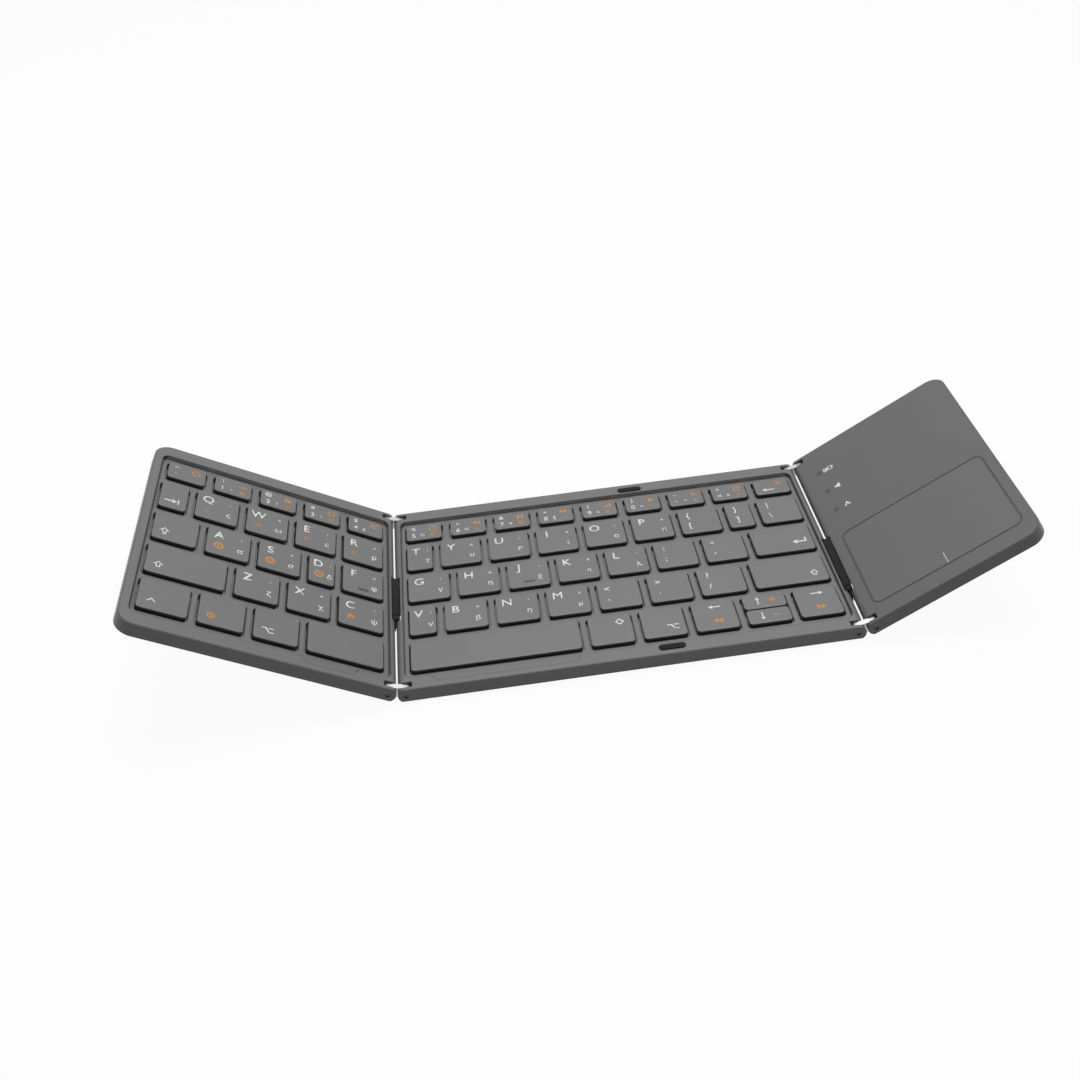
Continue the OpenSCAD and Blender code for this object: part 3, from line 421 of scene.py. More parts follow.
def shell(name, width, depth, corner, levels, steps=5):
    """A closed mesh of rounded rectangles, one at each (inset, height) in mm, from its
    lower face to its upper one. It keeps which corner each point belongs to."""
    rings = [outline(width, depth, corner, inset, steps) for inset, _ in levels]
    mesh = lofted(name, [[(x, y, z) for x, y, _, _ in ring]
                         for ring, (_, z) in zip(rings, levels)])
    for attribute, index in (("corner_x", 2), ("corner_y", 3)):
        note(mesh, attribute, [float(point[index]) for ring in rings for point in ring])
    return mesh


# One cap with no straight sides: the tree below moves its corners apart to each key's size
cap_bottom = THICKNESS - CAP_HEIGHT
slopes = [math.radians(degrees) for degrees in (0, 25, 50, 72, 90)]
cap_levels = [(CAP_WALL, THICKNESS - CAP_WALL), (CAP_WALL, cap_bottom),
              (CAP_FOOT_INSET, cap_bottom), (0.0, cap_bottom + CAP_FOOT_HEIGHT),
              (0.0, THICKNESS - PAINT_REACH)]
cap_levels += [(CAP_EDGE * (1 - math.cos(slope)), THICKNESS - CAP_EDGE * (1 - math.sin(slope)))
               for slope in slopes]
cap_levels.append((CAP_EDGE + CAP_FLAT_EDGE, THICKNESS))
# Share of grey by ring, fading down the sides: partly the real paint edge, partly painted
# shade
paint_and_shade_by_ring = [0, 0, 0, 0, 0.05, 0.18, 0.55, 0.88, 1, 1, 1]
cap_mesh = shell("cap_corners", 2 * CAP_CORNER, 2 * CAP_CORNER, CAP_CORNER, cap_levels)
corner_points = len(cap_mesh.vertices) // len(cap_levels)
note(cap_mesh, "paint_and_side_shade", [
    float(cover) for cover in paint_and_shade_by_ring for _ in range(corner_points)])
cap_source = place("cap_corners", cap_mesh)

# Two-tone cap: the paint thins out below the rounded edge, where the black moulding shows;
# the fade darker down the sides is partly painted shade of the gaps between keys
cap_paint, tree = blank_material("painted_black_abs")
spot, bump = grained(tree, CAP_GRAIN, PAINT_GRAIN_DEPTH, PAINT_GRAIN_STRENGTH)
_, mottle = mottled(tree, spot, CAP_CLOUD_SCALE, CAP_GREY, PAINT_SHARES, ends=PAINT_ENDS)
paint_and_side_shade = add(tree, "ShaderNodeAttribute", attribute_name="paint_and_side_shade")
tone = add(tree, "ShaderNodeMix", {
    "Factor": paint_and_side_shade.outputs["Fac"], 6: linear(CAP_BLACK), 7: mottle}, data_type="RGBA")
give_surface(tree, {
    "Base Color": tone.outputs[2], "Roughness": 0.4, "IOR": 1.5, "Normal": bump})


def geometry_tree(name, inputs, output):
    """A Geometry Nodes tree with inputs of these names and kinds, and their sockets."""
    made = bpy.data.node_groups.new(name, "GeometryNodeTree")
    for socket_name, kind in inputs.items():
        made.interface.new_socket(
            socket_name, in_out="INPUT", socket_type="NodeSocket" + kind)
    made.interface.new_socket(output, in_out="OUTPUT", socket_type="NodeSocketGeometry")
    return made, add(made, "NodeGroupInput").outputs


def real_copies(tree, points, part):
    """Real copies of a part, one at each point."""
    copies = add(tree, "GeometryNodeInstanceOnPoints", {
        "Points": points, "Instance": part})
    return add(tree, "GeometryNodeRealizeInstances", {"Geometry": copies})


def send_out(tree, shape, material):
    """Gives a shape its material and makes it what the tree puts out."""
    coated = add(tree, "GeometryNodeSetMaterial", {
        "Geometry": shape, "Material": material})
    add(tree, "NodeGroupOutput", {0: coated})


cap_tree, given = geometry_tree("key_caps", {
    "Keys": "Geometry", "Cap": "Object", "Corner": "Float", "Finish": "Material"}, "Caps")
cap = add(cap_tree, "GeometryNodeObjectInfo", {"Object": given["Cap"]})
copies = real_copies(cap_tree, given["Keys"], cap.outputs["Geometry"])
shifts = []
for corner_name, size_name in (("corner_x", "cap_width"), ("corner_y", "cap_depth")):
    towards, across = [
        add(cap_tree, "GeometryNodeInputNamedAttribute", {"Name": attribute},
            data_type="FLOAT").outputs["Attribute"]
        for attribute in (corner_name, size_name)]
    half = reckon(cap_tree, "MULTIPLY", across, 0.5)
    straight = reckon(cap_tree, "SUBTRACT", half, given["Corner"])
    shifts.append(reckon(cap_tree, "MULTIPLY", straight, towards))
shift = add(cap_tree, "ShaderNodeCombineXYZ", {"X": shifts[0], "Y": shifts[1]})
spread = add(cap_tree, "GeometryNodeSetPosition", {"Geometry": copies, "Offset": shift})
send_out(cap_tree, spread, given["Finish"])


def grown(name, places, tree, inputs, sizes=None):
    """A plain mesh made by a Geometry Nodes tree from points (x, y) and their sizes in mm."""
    mesh = bpy.data.meshes.new(name)
    mesh.from_pydata([(x * MM, y * MM, 0) for x, y in places], [], [])
    for size_name, values in (sizes or {}).items():
        note(mesh, size_name, [value * MM for value in values])
    seed = place(name + "_points", mesh)
    modifier = seed.modifiers.new(name, "NODES")
    modifier.node_group = tree
    for item in tree.interface.items_tree:
        if item.in_out == "INPUT" and item.name in inputs:
            modifier[item.identifier] = inputs[item.name]
    ready = seed.evaluated_get(bpy.context.evaluated_depsgraph_get())
    made = bpy.data.meshes.new_from_object(ready)
    seed.modifiers.remove(modifier)
    bpy.data.objects.remove(seed)
    made.name = name
    return made


def rounded(mesh, side, angle=40):
    """Smooth shading that keeps the sharp edges, with the mesh moved onto its panel."""
    mesh.transform(standing(side))
    mesh.shade_smooth()
    mesh.set_sharp_from_angle(angle=math.radians(angle))
    return mesh


# Panel, row, first key and key after the last of each group that moves together, under
# the name of its node
GROUPS = {
    "escape_key": (LEFT, 0, 0, 1), "left_number_keys": (LEFT, 0, 1, 5),
    "tab_key": (LEFT, 1, 0, 1), "left_top_letter_keys": (LEFT, 1, 1, 5),
    "caps_lock_key": (LEFT, 2, 0, 1), "left_home_letter_keys": (LEFT, 2, 1, 5),
    "left_shift_key": (LEFT, 3, 0, 1), "left_bottom_letter_keys": (LEFT, 3, 1, 4),
    "left_modifier_keys": (LEFT, 4, 0, 3), "left_space_key": (LEFT, 4, 3, 4),
    "right_number_keys": (CENTRE, 0, 0, 8), "backspace_key": (CENTRE, 0, 8, 9),
    "right_top_letter_keys": (CENTRE, 1, 0, 9),
    "right_home_letter_keys": (CENTRE, 2, 0, 7), "enter_key": (CENTRE, 2, 7, 8),
    "right_bottom_letter_keys": (CENTRE, 3, 0, 7), "right_shift_key": (CENTRE, 3, 7, 8),
    "right_space_key": (CENTRE, 4, 0, 1), "right_modifier_keys": (CENTRE, 4, 1, 3),
    "arrow_left_key": (CENTRE, 4, 3, 4), "arrow_up_key": (CENTRE, 4, 4, 5),
    "arrow_down_key": (CENTRE, 4, 5, 6), "arrow_right_key": (CENTRE, 4, 6, 7),
}
KEY_GROUPS = {node_name: (side, key_row(side, row)[first:end])
              for node_name, (side, row, first, end) in GROUPS.items()}
body_of_node = {
    node_name: body for body, names in frame["record"]["behaviour"]["bodies"].items()
    for node_name in names}

for node_name, (side, keys) in KEY_GROUPS.items():
    caps = grown(
        node_name + "_caps", [key[:2] for key in keys], cap_tree,
        {"Cap": cap_source, "Corner": CAP_CORNER * MM, "Finish": cap_paint},
        {"cap_width": [key[2] for key in keys], "cap_depth": [key[3] for key in keys]})
    piece = place(node_name + "_caps", rounded(caps, side))
    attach(piece, body_of_node[node_name])
    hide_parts(node_name)
bpy.data.objects.remove(cap_source)


# ---------- Scissor guides and silicone domes ----------
# Each cap rides on two crossed rings of white acetal and a silicone dome, two on a long key.
# Both give way under the cap; those of a group are one piece, which stays with its panel.
# The thin sheet that the domes are moulded on lies still.

SHEET_TOP = 1.5
LONG_KEY = 30.0
DOME_RADIUS = 1.9
DOME_CLEARANCE = 1.75
DOME_TOP = THICKNESS - CAP_WALL - 0.05
MERGE_REACH = 0.001
SHORT_OF_ROUND = 0.001
dome_profile = [
    (0.0, SHEET_TOP - 0.02), (0.0, SHEET_TOP + 0.12), (0.3, SHEET_TOP + 0.4), (0.62, 3.2),
    (0.74, 4.0), (0.8, DOME_TOP - 0.14), (0.88, DOME_TOP - 0.04), (1.05, DOME_TOP)]

copy_tree, given = geometry_tree("copies_on_points", {
    "Places": "Geometry", "Part": "Object", "Finish": "Material"}, "Copies")
part = add(copy_tree, "GeometryNodeObjectInfo", {"Object": given["Part"]})
copies = real_copies(copy_tree, given["Places"], part.outputs["Geometry"])
send_out(copy_tree, copies, given["Finish"])


def merged_copy(node_name, side):
    """A merged copy of a CAD node, laid flat with its panel, as a bmesh."""
    node = frame["nodes"][node_name]
    work = bmesh.new()
    work.from_mesh(node.data)
    work.transform(standing(side).inverted() @ node.matrix_world)
    bmesh.ops.remove_doubles(work, verts=work.verts, dist=MERGE_REACH * MM)
    return work


def mesh_of(name, work):
    """A mesh that takes over what a bmesh holds."""
    made = bpy.data.meshes.new(name)
    work.to_mesh(made)
    work.free()
    return made


def separate_parts(work):
    """The closed parts of a bmesh, each as its vertices in their order."""
    waiting, parts = {v: None for v in work.verts}, []
    while waiting:
        reached = [next(iter(waiting))]
        del waiting[reached[0]]
        for vertex in reached:
            for edge in vertex.link_edges:
                other = edge.other_vert(vertex)
                if other in waiting:
                    del waiting[other]
                    reached.append(other)
        parts.append(reached)
    return parts


def give_way(name, mesh, side, cad_node):
    """A piece that stays with its panel, in place of the CAD node that it hides."""
    piece = place(name, rounded(mesh, side, angle=30))
    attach(piece, "left_wing" if side == LEFT else "centre_panel")
    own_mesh(piece)
    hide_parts(cad_node)


silicone = spark_textured("clear_silicone", "#C9C9C4", 0.6, 0.5)
acetal = spark_textured("white_acetal", "#E4E4DE", 0.5, 0.35)
for panel_side, panel_body in ((LEFT, "left_wing"), (CENTRE, "centre_panel")):
    panel_name = SIDE_NAMES[panel_side]
    work = merged_copy(panel_name + "_scissors", panel_side)
    rings = [(sum((v.co for v in part), Vector()) / len(part) / MM, part)
             for part in separate_parts(work)]
    for node_name, (side, keys) in KEY_GROUPS.items():
        if side != panel_side:
            continue
        guides = bmesh.new()
        for middle, part in rings:
            if any(abs(middle.x - x) < w / 2 and abs(middle.y - y) < d / 2
                   for x, y, w, d in keys):
                copies = {v: guides.verts.new(v.co) for v in part}
                for face in {f: None for v in part for f in v.link_faces}:
                    guides.faces.new([copies[v] for v in face.verts])
        mesh = mesh_of(node_name + "_guides", guides)
        mesh.materials.append(acetal)
        give_way(node_name + "_guides", mesh, side,
                 panel_name + "_scissors")
        radius = min(DOME_RADIUS, (keys[0][3] - 2 * CAP_WALL) / 2 - DOME_CLEARANCE)
        dome_source = place("dome", shell(
            "dome", 2 * radius, 2 * radius, radius - SHORT_OF_ROUND,
            [(inset * (radius / DOME_RADIUS), z) for inset, z in dome_profile], steps=6))
        middles = [(x + shift * w / 4, y) for x, y, w, _ in keys
                   for shift in ((-1, 1) if w > LONG_KEY else (0,))]
        domes = grown(node_name + "_domes", middles, copy_tree, {
            "Part": dome_source, "Finish": silicone})
        bpy.data.objects.remove(dome_source)
        give_way(node_name + "_domes", domes, side,
                 panel_name + "_dome_sheet")
    work.free()
    # The sheet is the CAD one with its domes pressed flat into it
    work = merged_copy(panel_name + "_dome_sheet", panel_side)
    for vertex in work.verts:
        vertex.co.z = min(vertex.co.z, SHEET_TOP * MM)
    mesh = mesh_of(panel_name + "_silicone_sheet", work)
    mesh.materials.append(silicone)
    piece = place(panel_name + "_silicone_sheet", rounded(mesh, panel_side, angle=30))
    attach(piece, panel_body)
    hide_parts(panel_name + "_dome_sheet")


# ---------- Homing bars ----------
# A low moulded bar near the front edge of each of the two forefinger keys, where fingers
# find it by touch. It carries no paint share, so it shows the cap's dark side colour:
# painted shade for the thin shadow line along the bar.

BAR_LENGTH = 4.0
BAR_WIDTH = 0.8
BAR_INSET = 2.9
bar_levels = [(inset, THICKNESS + height) for inset, height in (
    (0.0, -0.05), (0.0, 0.08), (0.06, 0.16), (0.16, 0.2))]

for bar_name, side, (x, y, _, depth), node_name in (
        ("left_homing_bar", LEFT, key_row(LEFT, 2)[4], "left_home_letter_keys"),
        ("right_homing_bar", CENTRE, key_row(CENTRE, 2)[2], "right_home_letter_keys")):
    ridge = shell(bar_name, BAR_LENGTH, BAR_WIDTH, BAR_WIDTH / 2 - 0.01, bar_levels, steps=6)
    ridge.transform(Matrix.Translation(Vector((x, y - depth / 2 + BAR_INSET, 0)) * MM))
    # The cap material without a paint share: all dark, as painted shade
    ridge.materials.append(cap_paint)
    piece = place(bar_name, rounded(ridge, side, angle=60))
    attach(piece, body_of_node[node_name])


# ---------- Printed legends ----------
# White and orange ink, pad-printed on the caps in a thin even film. The signs are those
# of any keyboard: letters, digits, punctuation, arrows and simple marks.

INK_LIFT = 0.012
INK_FILM = 0.008
INK_CLOUD = 0.4
CAPITAL_SHARE = 0.72
STROKE_GROWTH = 0.02
SHARP_INSIDE = "MNW"
WHITE_INK, ORANGE_INK = 0, 1


def ink(name, shade):
    """Pad-printing ink: opaque and slightly glossy, a little uneven where it thins."""
    made, tree = blank_material(name)
    spot = add(tree, "ShaderNodeTexCoord").outputs["Object"]
    _, film = mottled(tree, spot, 1 / (INK_CLOUD * MM), shade, (0.88, 1.0), detail=2.0)
    give_surface(tree, {
        "Base Color": film, "Roughness": 0.35, "IOR": 1.5})
    return made


inks = [ink("white_pad_print", "#FAFAF8"), ink("orange_pad_print", "#D69038")]


def ring_of(radius, width, count=24):
    """A flat ring as quads."""
    turn = [(math.cos(math.tau * i / count), math.sin(math.tau * i / count))
            for i in range(count)]
    return [[(x0 * radius, y0 * radius), (x1 * radius, y1 * radius),
             (x1 * (radius - width), y1 * (radius - width)),
             (x0 * (radius - width), y0 * (radius - width))]
            for (x0, y0), (x1, y1) in zip(turn, turn[1:] + turn[:1])]


def drawn(corners):
    """Flat shapes, parted by commas, from the x and y of their corners in hundredths. Two
    corners alone make a bar."""
    shapes = []
    for shape in corners.split(","):
        numbers = [float(number) / 100 for number in shape.split()]
        points = list(zip(numbers[::2], numbers[1::2]))
        if len(points) == 2:
            (x0, y0), (x1, y1) = points
            points = [(x0, y0), (x1, y0), (x1, y1), (x0, y1)]
        shapes.append(points)
    return shapes


def turned(shapes, quarter_turns):
    """The same flat shapes, turned by quarter turns counter-clockwise."""
    for _ in range(quarter_turns):
        shapes = [[(-y, x) for x, y in shape] for shape in shapes]
    return shapes


# Flat marks one unit across, as lists of polygons
MARKS = {name: drawn(corners) for name, corners in {
    "right": "-50 -5 20 5, 15 -20 50 0 15 20",
    "play": "-30 -40 45 0 -30 40",
    "next": "-50 -35 0 0 -50 35, 0 -35 50 0 0 35",
    "pause": "-35 -40 -10 40, 10 -40 35 40",
    "square": "-40 -40 40 -28, -40 28 40 40, -40 -28 -28 28, 28 -28 40 28",
    "bars": "-45 -40 -25 -10, -10 -40 10 15, 25 -40 45 40",
    "plus": "-40 -7 -7 7, 7 -7 40 7, -7 -40 7 40",
    "minus": "-40 -7 40 7",
    "ray": "32 -4.5 50 4.5",
    "return": "40 -5 50 40, -20 -5 40 5, -15 -22 -15 22 -50 0",
    "tab": "-50 -5 12 5, 5 -20 38 0 5 20, 42 -25 50 25",
    "shift": "-50 0 -36 0 0 38 0 52, 50 0 0 52 0 38 36 0, -50 -2 -20 7, 20 -2 50 7,"
             "-20 -42 -11 7, 11 -42 20 7, -11 -42 11 -33",
    "caret": "-40 -20 -28 -20 0 12 0 27, 40 -20 0 27 0 12 28 -20",
    "fork": "-50 20 -20 30, -20 20 -8 30 -20 30, -20 20 10 -30 20 -30 -8 30,"
            "10 -30 50 -20, 10 20 50 30",
    "diamond": "-50 0 0 -50 0 -32 -32 0",
    "home": "-50 2 0 40 50 2, -34 -40 -10 2, 10 -40 34 2",
    "ladder": "-50 26 50 40, -50 -7 20 7, -50 -40 40 -26",
    "cell": "-50 -24 40 -15, -50 15 40 24, -50 -15 -41 15, 31 -15 40 15, 43 -8 50 8,"
            "-33 -9 2 9",
    "peak": "-50 -40 -24 -40 0 6 0 50, 50 -40 0 50 0 6 24 -40",
    "tick": "-2 -50 2 50",
}.items()}
for name, source, quarter_turns in (
        ("up", "right", 1), ("left", "right", 2), ("down", "right", 3), ("back", "play", 2),
        ("previous", "next", 2)):
    MARKS[name] = turned(MARKS[source], quarter_turns)
for name in ("diamond", "ray"):
    MARKS[name] = [shape for turn in range(4) for shape in turned(MARKS[name], turn)]
MARKS["ring"] = ring_of(0.5, 0.14)
MARKS["dot_ring"] = ring_of(0.5, 0.2) + ring_of(0.14, 0.139)
MARKS["sun"] = ring_of(0.24, 0.08) + MARKS["ray"]
MARKS["caps"] = MARKS["shift"] + drawn("-20 -60 20 -50")

# Height, x and y of signs on a key in mm, x from its left edge, or from its right edge
# where it is negative, and y from its rear edge; the last x is for a narrow key
LETTER = (3.7, 4.0, 4.1, 3.3)
SECOND_LETTER = (2.4, -3.3, 10.3, -1.9)
ACCENT = (2.0, -3.2, 4.1, -1.7)
PUNCTUATION = [(2.9, 3.6, 4.2), (2.9, 3.6, 10.3)]
NUMBER_SIGNS = [
    (2.0, 2.8, 2.5, WHITE_INK), (2.4, 2.8, 6.6, WHITE_INK), (1.8, 6.1, 6.6, WHITE_INK),
    (3.0, 10.0, 3.1, ORANGE_INK), (2.0, 10.0, 7.0, ORANGE_INK)]
legends = {}


def legend(group, index, sign, height, x, y, colour=WHITE_INK):
    """Puts a sign on one key of a group."""
    side, keys = KEY_GROUPS[group]
    key_x, key_y, width, depth = keys[index]
    edge = key_x - width / 2 if x > 0 else key_x + width / 2
    legends.setdefault(group, (side, []))[1].append(
        (sign, height, edge + x, key_y + depth / 2 - y, colour))


# Letters with a small second-alphabet letter and accent mark at the right
for group, letters, seconds in (
        ("left_top_letter_keys", "QWER", "ςωερ"),
        ("left_home_letter_keys", "ASDF", "ασδφ"),
        ("left_bottom_letter_keys", "ZXC", "ζχψ"),
        ("right_top_letter_keys", "TYUIOP", "τυθιοπ"),
        ("right_home_letter_keys", "GHJKL", "γηξκλ"),
        ("right_bottom_letter_keys", "VBNM", "νβημ")):
    for index, (letter, second) in enumerate(zip(letters, seconds)):
        narrow = KEY_GROUPS[group][1][index][2] < KEY
        accent = "^" if index % 2 else "'"
        for sign, (height, x, y, narrow_x) in (
                (letter, LETTER), (second, SECOND_LETTER), (accent, ACCENT)):
            legend(group, index, sign, height, narrow_x if narrow else x, y)

# Punctuation keys: the shifted sign above, the plain one below
for group, first, signs in (
        ("right_top_letter_keys", 6, ("{[", "}]", "|\\")),
        ("right_home_letter_keys", 5, (":;", "\"'")),
        ("right_bottom_letter_keys", 4, ("<,", ">.", "?/"))):
    for index, pair in enumerate(signs, first):
        for sign, (height, x, y) in zip(pair, PUNCTUATION):
            legend(group, index, sign, height, x, y)

# Number row: sign, digit, a small third sign and orange marks
NUMBER_ROW = [("left_number_keys", i, "!@#$"[i], "1234"[i], "¹²³£"[i]) for i in range(4)]
NUMBER_ROW += [("right_number_keys", i, "%^&*()_+"[i], "567890-="[i], "½¾¤§«»¬±"[i])
               for i in range(8)]
for (group, index, *signs), mark in zip(NUMBER_ROW, (
        "sun", "home", "square", "ladder", "ring", "previous", "pause", "next", "bars",
        "play", "plus", "square")):
    signs += [mark, "minus" if index % 2 else "ladder"]
    for sign, (height, x, y, colour) in zip(signs, NUMBER_SIGNS):
        legend(group, index, sign, height, x, y, colour)

# Orange marks on some letter keys
for index, sign in enumerate(("sun", "bars", "square", "ladder")):
    legend("left_top_letter_keys", index, sign, 2.0, 4.0, 9.8, ORANGE_INK)
for index, x in enumerate((4.2, 4.2, 3.6)):
    legend("left_home_letter_keys", index, "dot_ring", 3.5, x, 9.9, ORANGE_INK)
legend("left_bottom_letter_keys", 2, "home", 3.2, 4.2, 9.9, ORANGE_INK)

# Signs and plain marks on the other keys, in place of words
for group, index, *sign in (
        ("escape_key", 0, "~", 2.2, 2.8, 2.5), ("escape_key", 0, "`", 2.4, 2.8, 6.4),
        ("escape_key", 0, "ring", 3.0, 9.8, 3.4, ORANGE_INK),
        ("backspace_key", 0, "left", 4.6, 5.0, 6.6),
        ("backspace_key", 0, "ladder", 2.6, 9.8, 2.9, ORANGE_INK),
        ("tab_key", 0, "tab", 5.0, 4.2, 10.6), ("caps_lock_key", 0, "caps", 3.3, 4.0, 10.0),
        ("left_shift_key", 0, "shift", 3.3, 4.2, 10.3),
        ("right_shift_key", 0, "shift", 3.3, -4.6, 10.3),
        ("enter_key", 0, "return", 5.2, -5.0, 9.8),
        ("left_modifier_keys", 0, "caret", 3.8, 4.4, 10.3),
        ("left_modifier_keys", 1, "dot_ring", 2.7, 4.0, 10.3, ORANGE_INK),
        ("left_modifier_keys", 2, "fork", 4.0, 4.6, 10.3),
        ("right_modifier_keys", 0, "diamond", 3.2, -4.0, 4.2),
        ("right_modifier_keys", 1, "fork", 4.0, -4.4, 10.3),
        ("arrow_left_key", 0, "left", 4.4, 8.0, 3.3),
        ("arrow_left_key", 0, "previous", 3.2, 8.0, 10.4, ORANGE_INK),
        ("arrow_right_key", 0, "right", 4.4, 8.0, 3.3),
        ("arrow_right_key", 0, "next", 3.2, 8.0, 10.4, ORANGE_INK),
        ("arrow_up_key", 0, "up", 3.7, 5.2, 3.3),
        ("arrow_up_key", 0, "plus", 3.0, 10.3, 3.3, ORANGE_INK),
        ("arrow_down_key", 0, "down", 3.7, 5.2, 3.6),
        ("arrow_down_key", 0, "minus", 3.0, 10.3, 3.6, ORANGE_INK)):
    legend(group, index, *sign)


def lettering(signs):
    """Flat meshes of the signs that are letters, one for each, still at the origin."""
    written = []
    for sign, height, *_ in signs:
        curve = bpy.data.curves.new("sign", "FONT")
        curve.body = sign
        curve.size = height * MM / CAPITAL_SHARE
        curve.offset = 0.0 if sign in SHARP_INSIDE else STROKE_GROWTH * height * MM
        curve.resolution_u = 4
        written.append(place("sign", curve))
    depsgraph = bpy.context.evaluated_depsgraph_get()
    meshes = [bpy.data.meshes.new_from_object(text.evaluated_get(depsgraph))
              for text in written]
    for text in written:
        bpy.data.objects.remove(text)
    return meshes


def print_on(name, side, signs, body):
    """One piece with all the signs printed on a group of keys or on a panel."""
    level = (THICKNESS + INK_LIFT) * MM
    letters = [s for s in signs if s[0] not in MARKS]
    printed = bmesh.new()
    for mesh, (_, height, x, y, colour) in zip(lettering(letters), letters):
        low = Vector([min(v.co[i] for v in mesh.vertices) for i in range(3)])
        high = Vector([max(v.co[i] for v in mesh.vertices) for i in range(3)])
        mesh.transform(Matrix.Translation(
            Vector((x * MM, y * MM, level)) - (low + high) / 2))
        first = len(printed.faces)
        printed.from_mesh(mesh)
        printed.faces.ensure_lookup_table()
        for face in printed.faces[first:]:
            face.material_index = colour
    for sign, height, x, y, colour in signs:
        for shape in MARKS.get(sign, ()):
            corners = [((x + px * height) * MM, (y + py * height) * MM, level)
                       for px, py in shape]
            face = printed.faces.new([printed.verts.new(corner) for corner in corners])
            face.material_index = colour
    for face in printed.faces:
        face.normal_update()
        if face.normal.z < 0:
            face.normal_flip()
    mesh = mesh_of(name, printed)
    mesh.transform(standing(side))
    for material in inks:
        mesh.materials.append(material)
    piece = place(name, mesh)
    film = piece.modifiers.new("ink_film", "SOLIDIFY")
    film.thickness = INK_FILM * MM
    film.offset = -1
    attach(piece, body)


for group, (side, signs) in legends.items():
    print_on(group + "_legends", side, signs, body_of_node[group])


# ---------- Touchpad ----------
# A thin smooth plate of matt filled plastic over a sensor board, with a printed tick at
# the front edge between its left and right halves.

PAD_INNER = 3.5
PAD_WIDTH = 55.0
PAD_DEPTH = 39.2
PAD_FRONT = 7.2
PAD_CORNER = 2.8
SEAL_INSIDE, SEAL_OUTSIDE = 0.03, 0.28
SEAL_BOTTOM, SEAL_TOP = THICKNESS - 0.6, THICKNESS - 0.12
TICK_LENGTH = 5.1
TICK_X, TICK_Y = 0.2, 2.9
KEY_MARGIN = 3.0
RIM_WIDTH = 5.7
DEPTH = FIELD_DEPTH + 2 * (KEY_MARGIN + RIM_WIDTH)
pad_x = PAD_INNER + PAD_WIDTH / 2

pad_face = satin_paint("matt_filled_abs", "#656566", 0.5)
finish("touchpad", pad_face)


def band_ring(name, inner, outer, z0, z1):
    """A closed ring between two rounded rectangles, each (width, depth, corner) in mm."""
    loops = [[(x, y, z) for x, y, _, _ in outline(*edge, steps=8)]
             for edge, z in ((outer, z0), (outer, z1), (inner, z1), (inner, z0))]
    count = len(loops[0])
    faces = [(a * count + i, a * count + (i + 1) % count, b * count + (i + 1) % count,
              b * count + i)
             for a, b in ((0, 1), (1, 2), (2, 3), (3, 0)) for i in range(count)]
    mesh = bpy.data.meshes.new(name)
    mesh.from_pydata([(x * MM, y * MM, z * MM) for loop in loops for x, y, z in loop], [],
                     faces)
    return mesh


# A soft grey dust seal lies in the groove round the plate, just below the faces
seal_foam = spark_textured("grey_foam", "#6A6A6B", 0.4, 0.7, 0.2)
seal_inner, seal_outer = [
    (PAD_WIDTH + 2 * gap, PAD_DEPTH + 2 * gap, PAD_CORNER + gap)
    for gap in (SEAL_INSIDE, SEAL_OUTSIDE)]
seal = band_ring("touchpad_seal", seal_inner, seal_outer, SEAL_BOTTOM, SEAL_TOP)
seal.transform(Matrix.Translation(
    Vector((pad_x, PAD_FRONT + PAD_DEPTH / 2 - DEPTH / 2, 0)) * MM))
seal.materials.append(seal_foam)
piece = place("touchpad_seal", rounded(seal, RIGHT, angle=30))
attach(piece, "right_wing")
print_on("touchpad_tick", RIGHT, [
    ("tick", TICK_LENGTH, pad_x + TICK_X, -DEPTH / 2 + PAD_FRONT + TICK_Y, WHITE_INK)],
    body_of_node["touchpad"])


# ---------- Indicator windows and their marks ----------
# Three smoked acrylic light guides, flush with the right wing's cover, beside printed
# marks: charge, power and link.

WINDOW_X = 5.8
WINDOW_REAR = 15.0
WINDOW_PITCH = 11.65
INDICATOR_MARKS = (("cell", 4.2, 3.9), ("back", 3.4, 4.2), ("peak", 2.6, 4.5))
SMOKE_CLOUD = 0.5

print_on("indicator_marks", RIGHT, [
    (sign, height, WINDOW_X + shift, DEPTH / 2 - WINDOW_REAR - i * WINDOW_PITCH, WHITE_INK)
    for i, (sign, height, shift) in enumerate(INDICATOR_MARKS)],
    "right_wing")

smoked, tree = blank_material("smoked_acrylic")
spot = add(tree, "ShaderNodeTexCoord").outputs["Object"]
haze = add(tree, "ShaderNodeTexNoise", {"Vector": spot, "Scale": 1 / (SMOKE_CLOUD * MM)})
tint = add(tree, "ShaderNodeValToRGB", {0: haze})
for end, shade in zip(tint.color_ramp.elements, ("#434343", "#505050")):
    end.color = linear(shade)
give_surface(tree, {
    "Base Color": tint, "Roughness": 0.2, "IOR": 1.49})
finish("indicator_windows", smoked)


# ---------- Bumper pads ----------
# Two soft black rubber pills pressed into the centre panel's rims, on which the edges of
# the folded wings land.

LEFT_WIDTH, RIGHT_WIDTH = 88.6, 62.7
BUMPER_X = PIVOT_SPAN / 2 - RIGHT_WIDTH
BUMPER_INSET = 3.5
BUMPER_Y = DEPTH / 2 - BUMPER_INSET
BUMPER_LENGTH = 8.6
BUMPER_WIDTH = 2.2

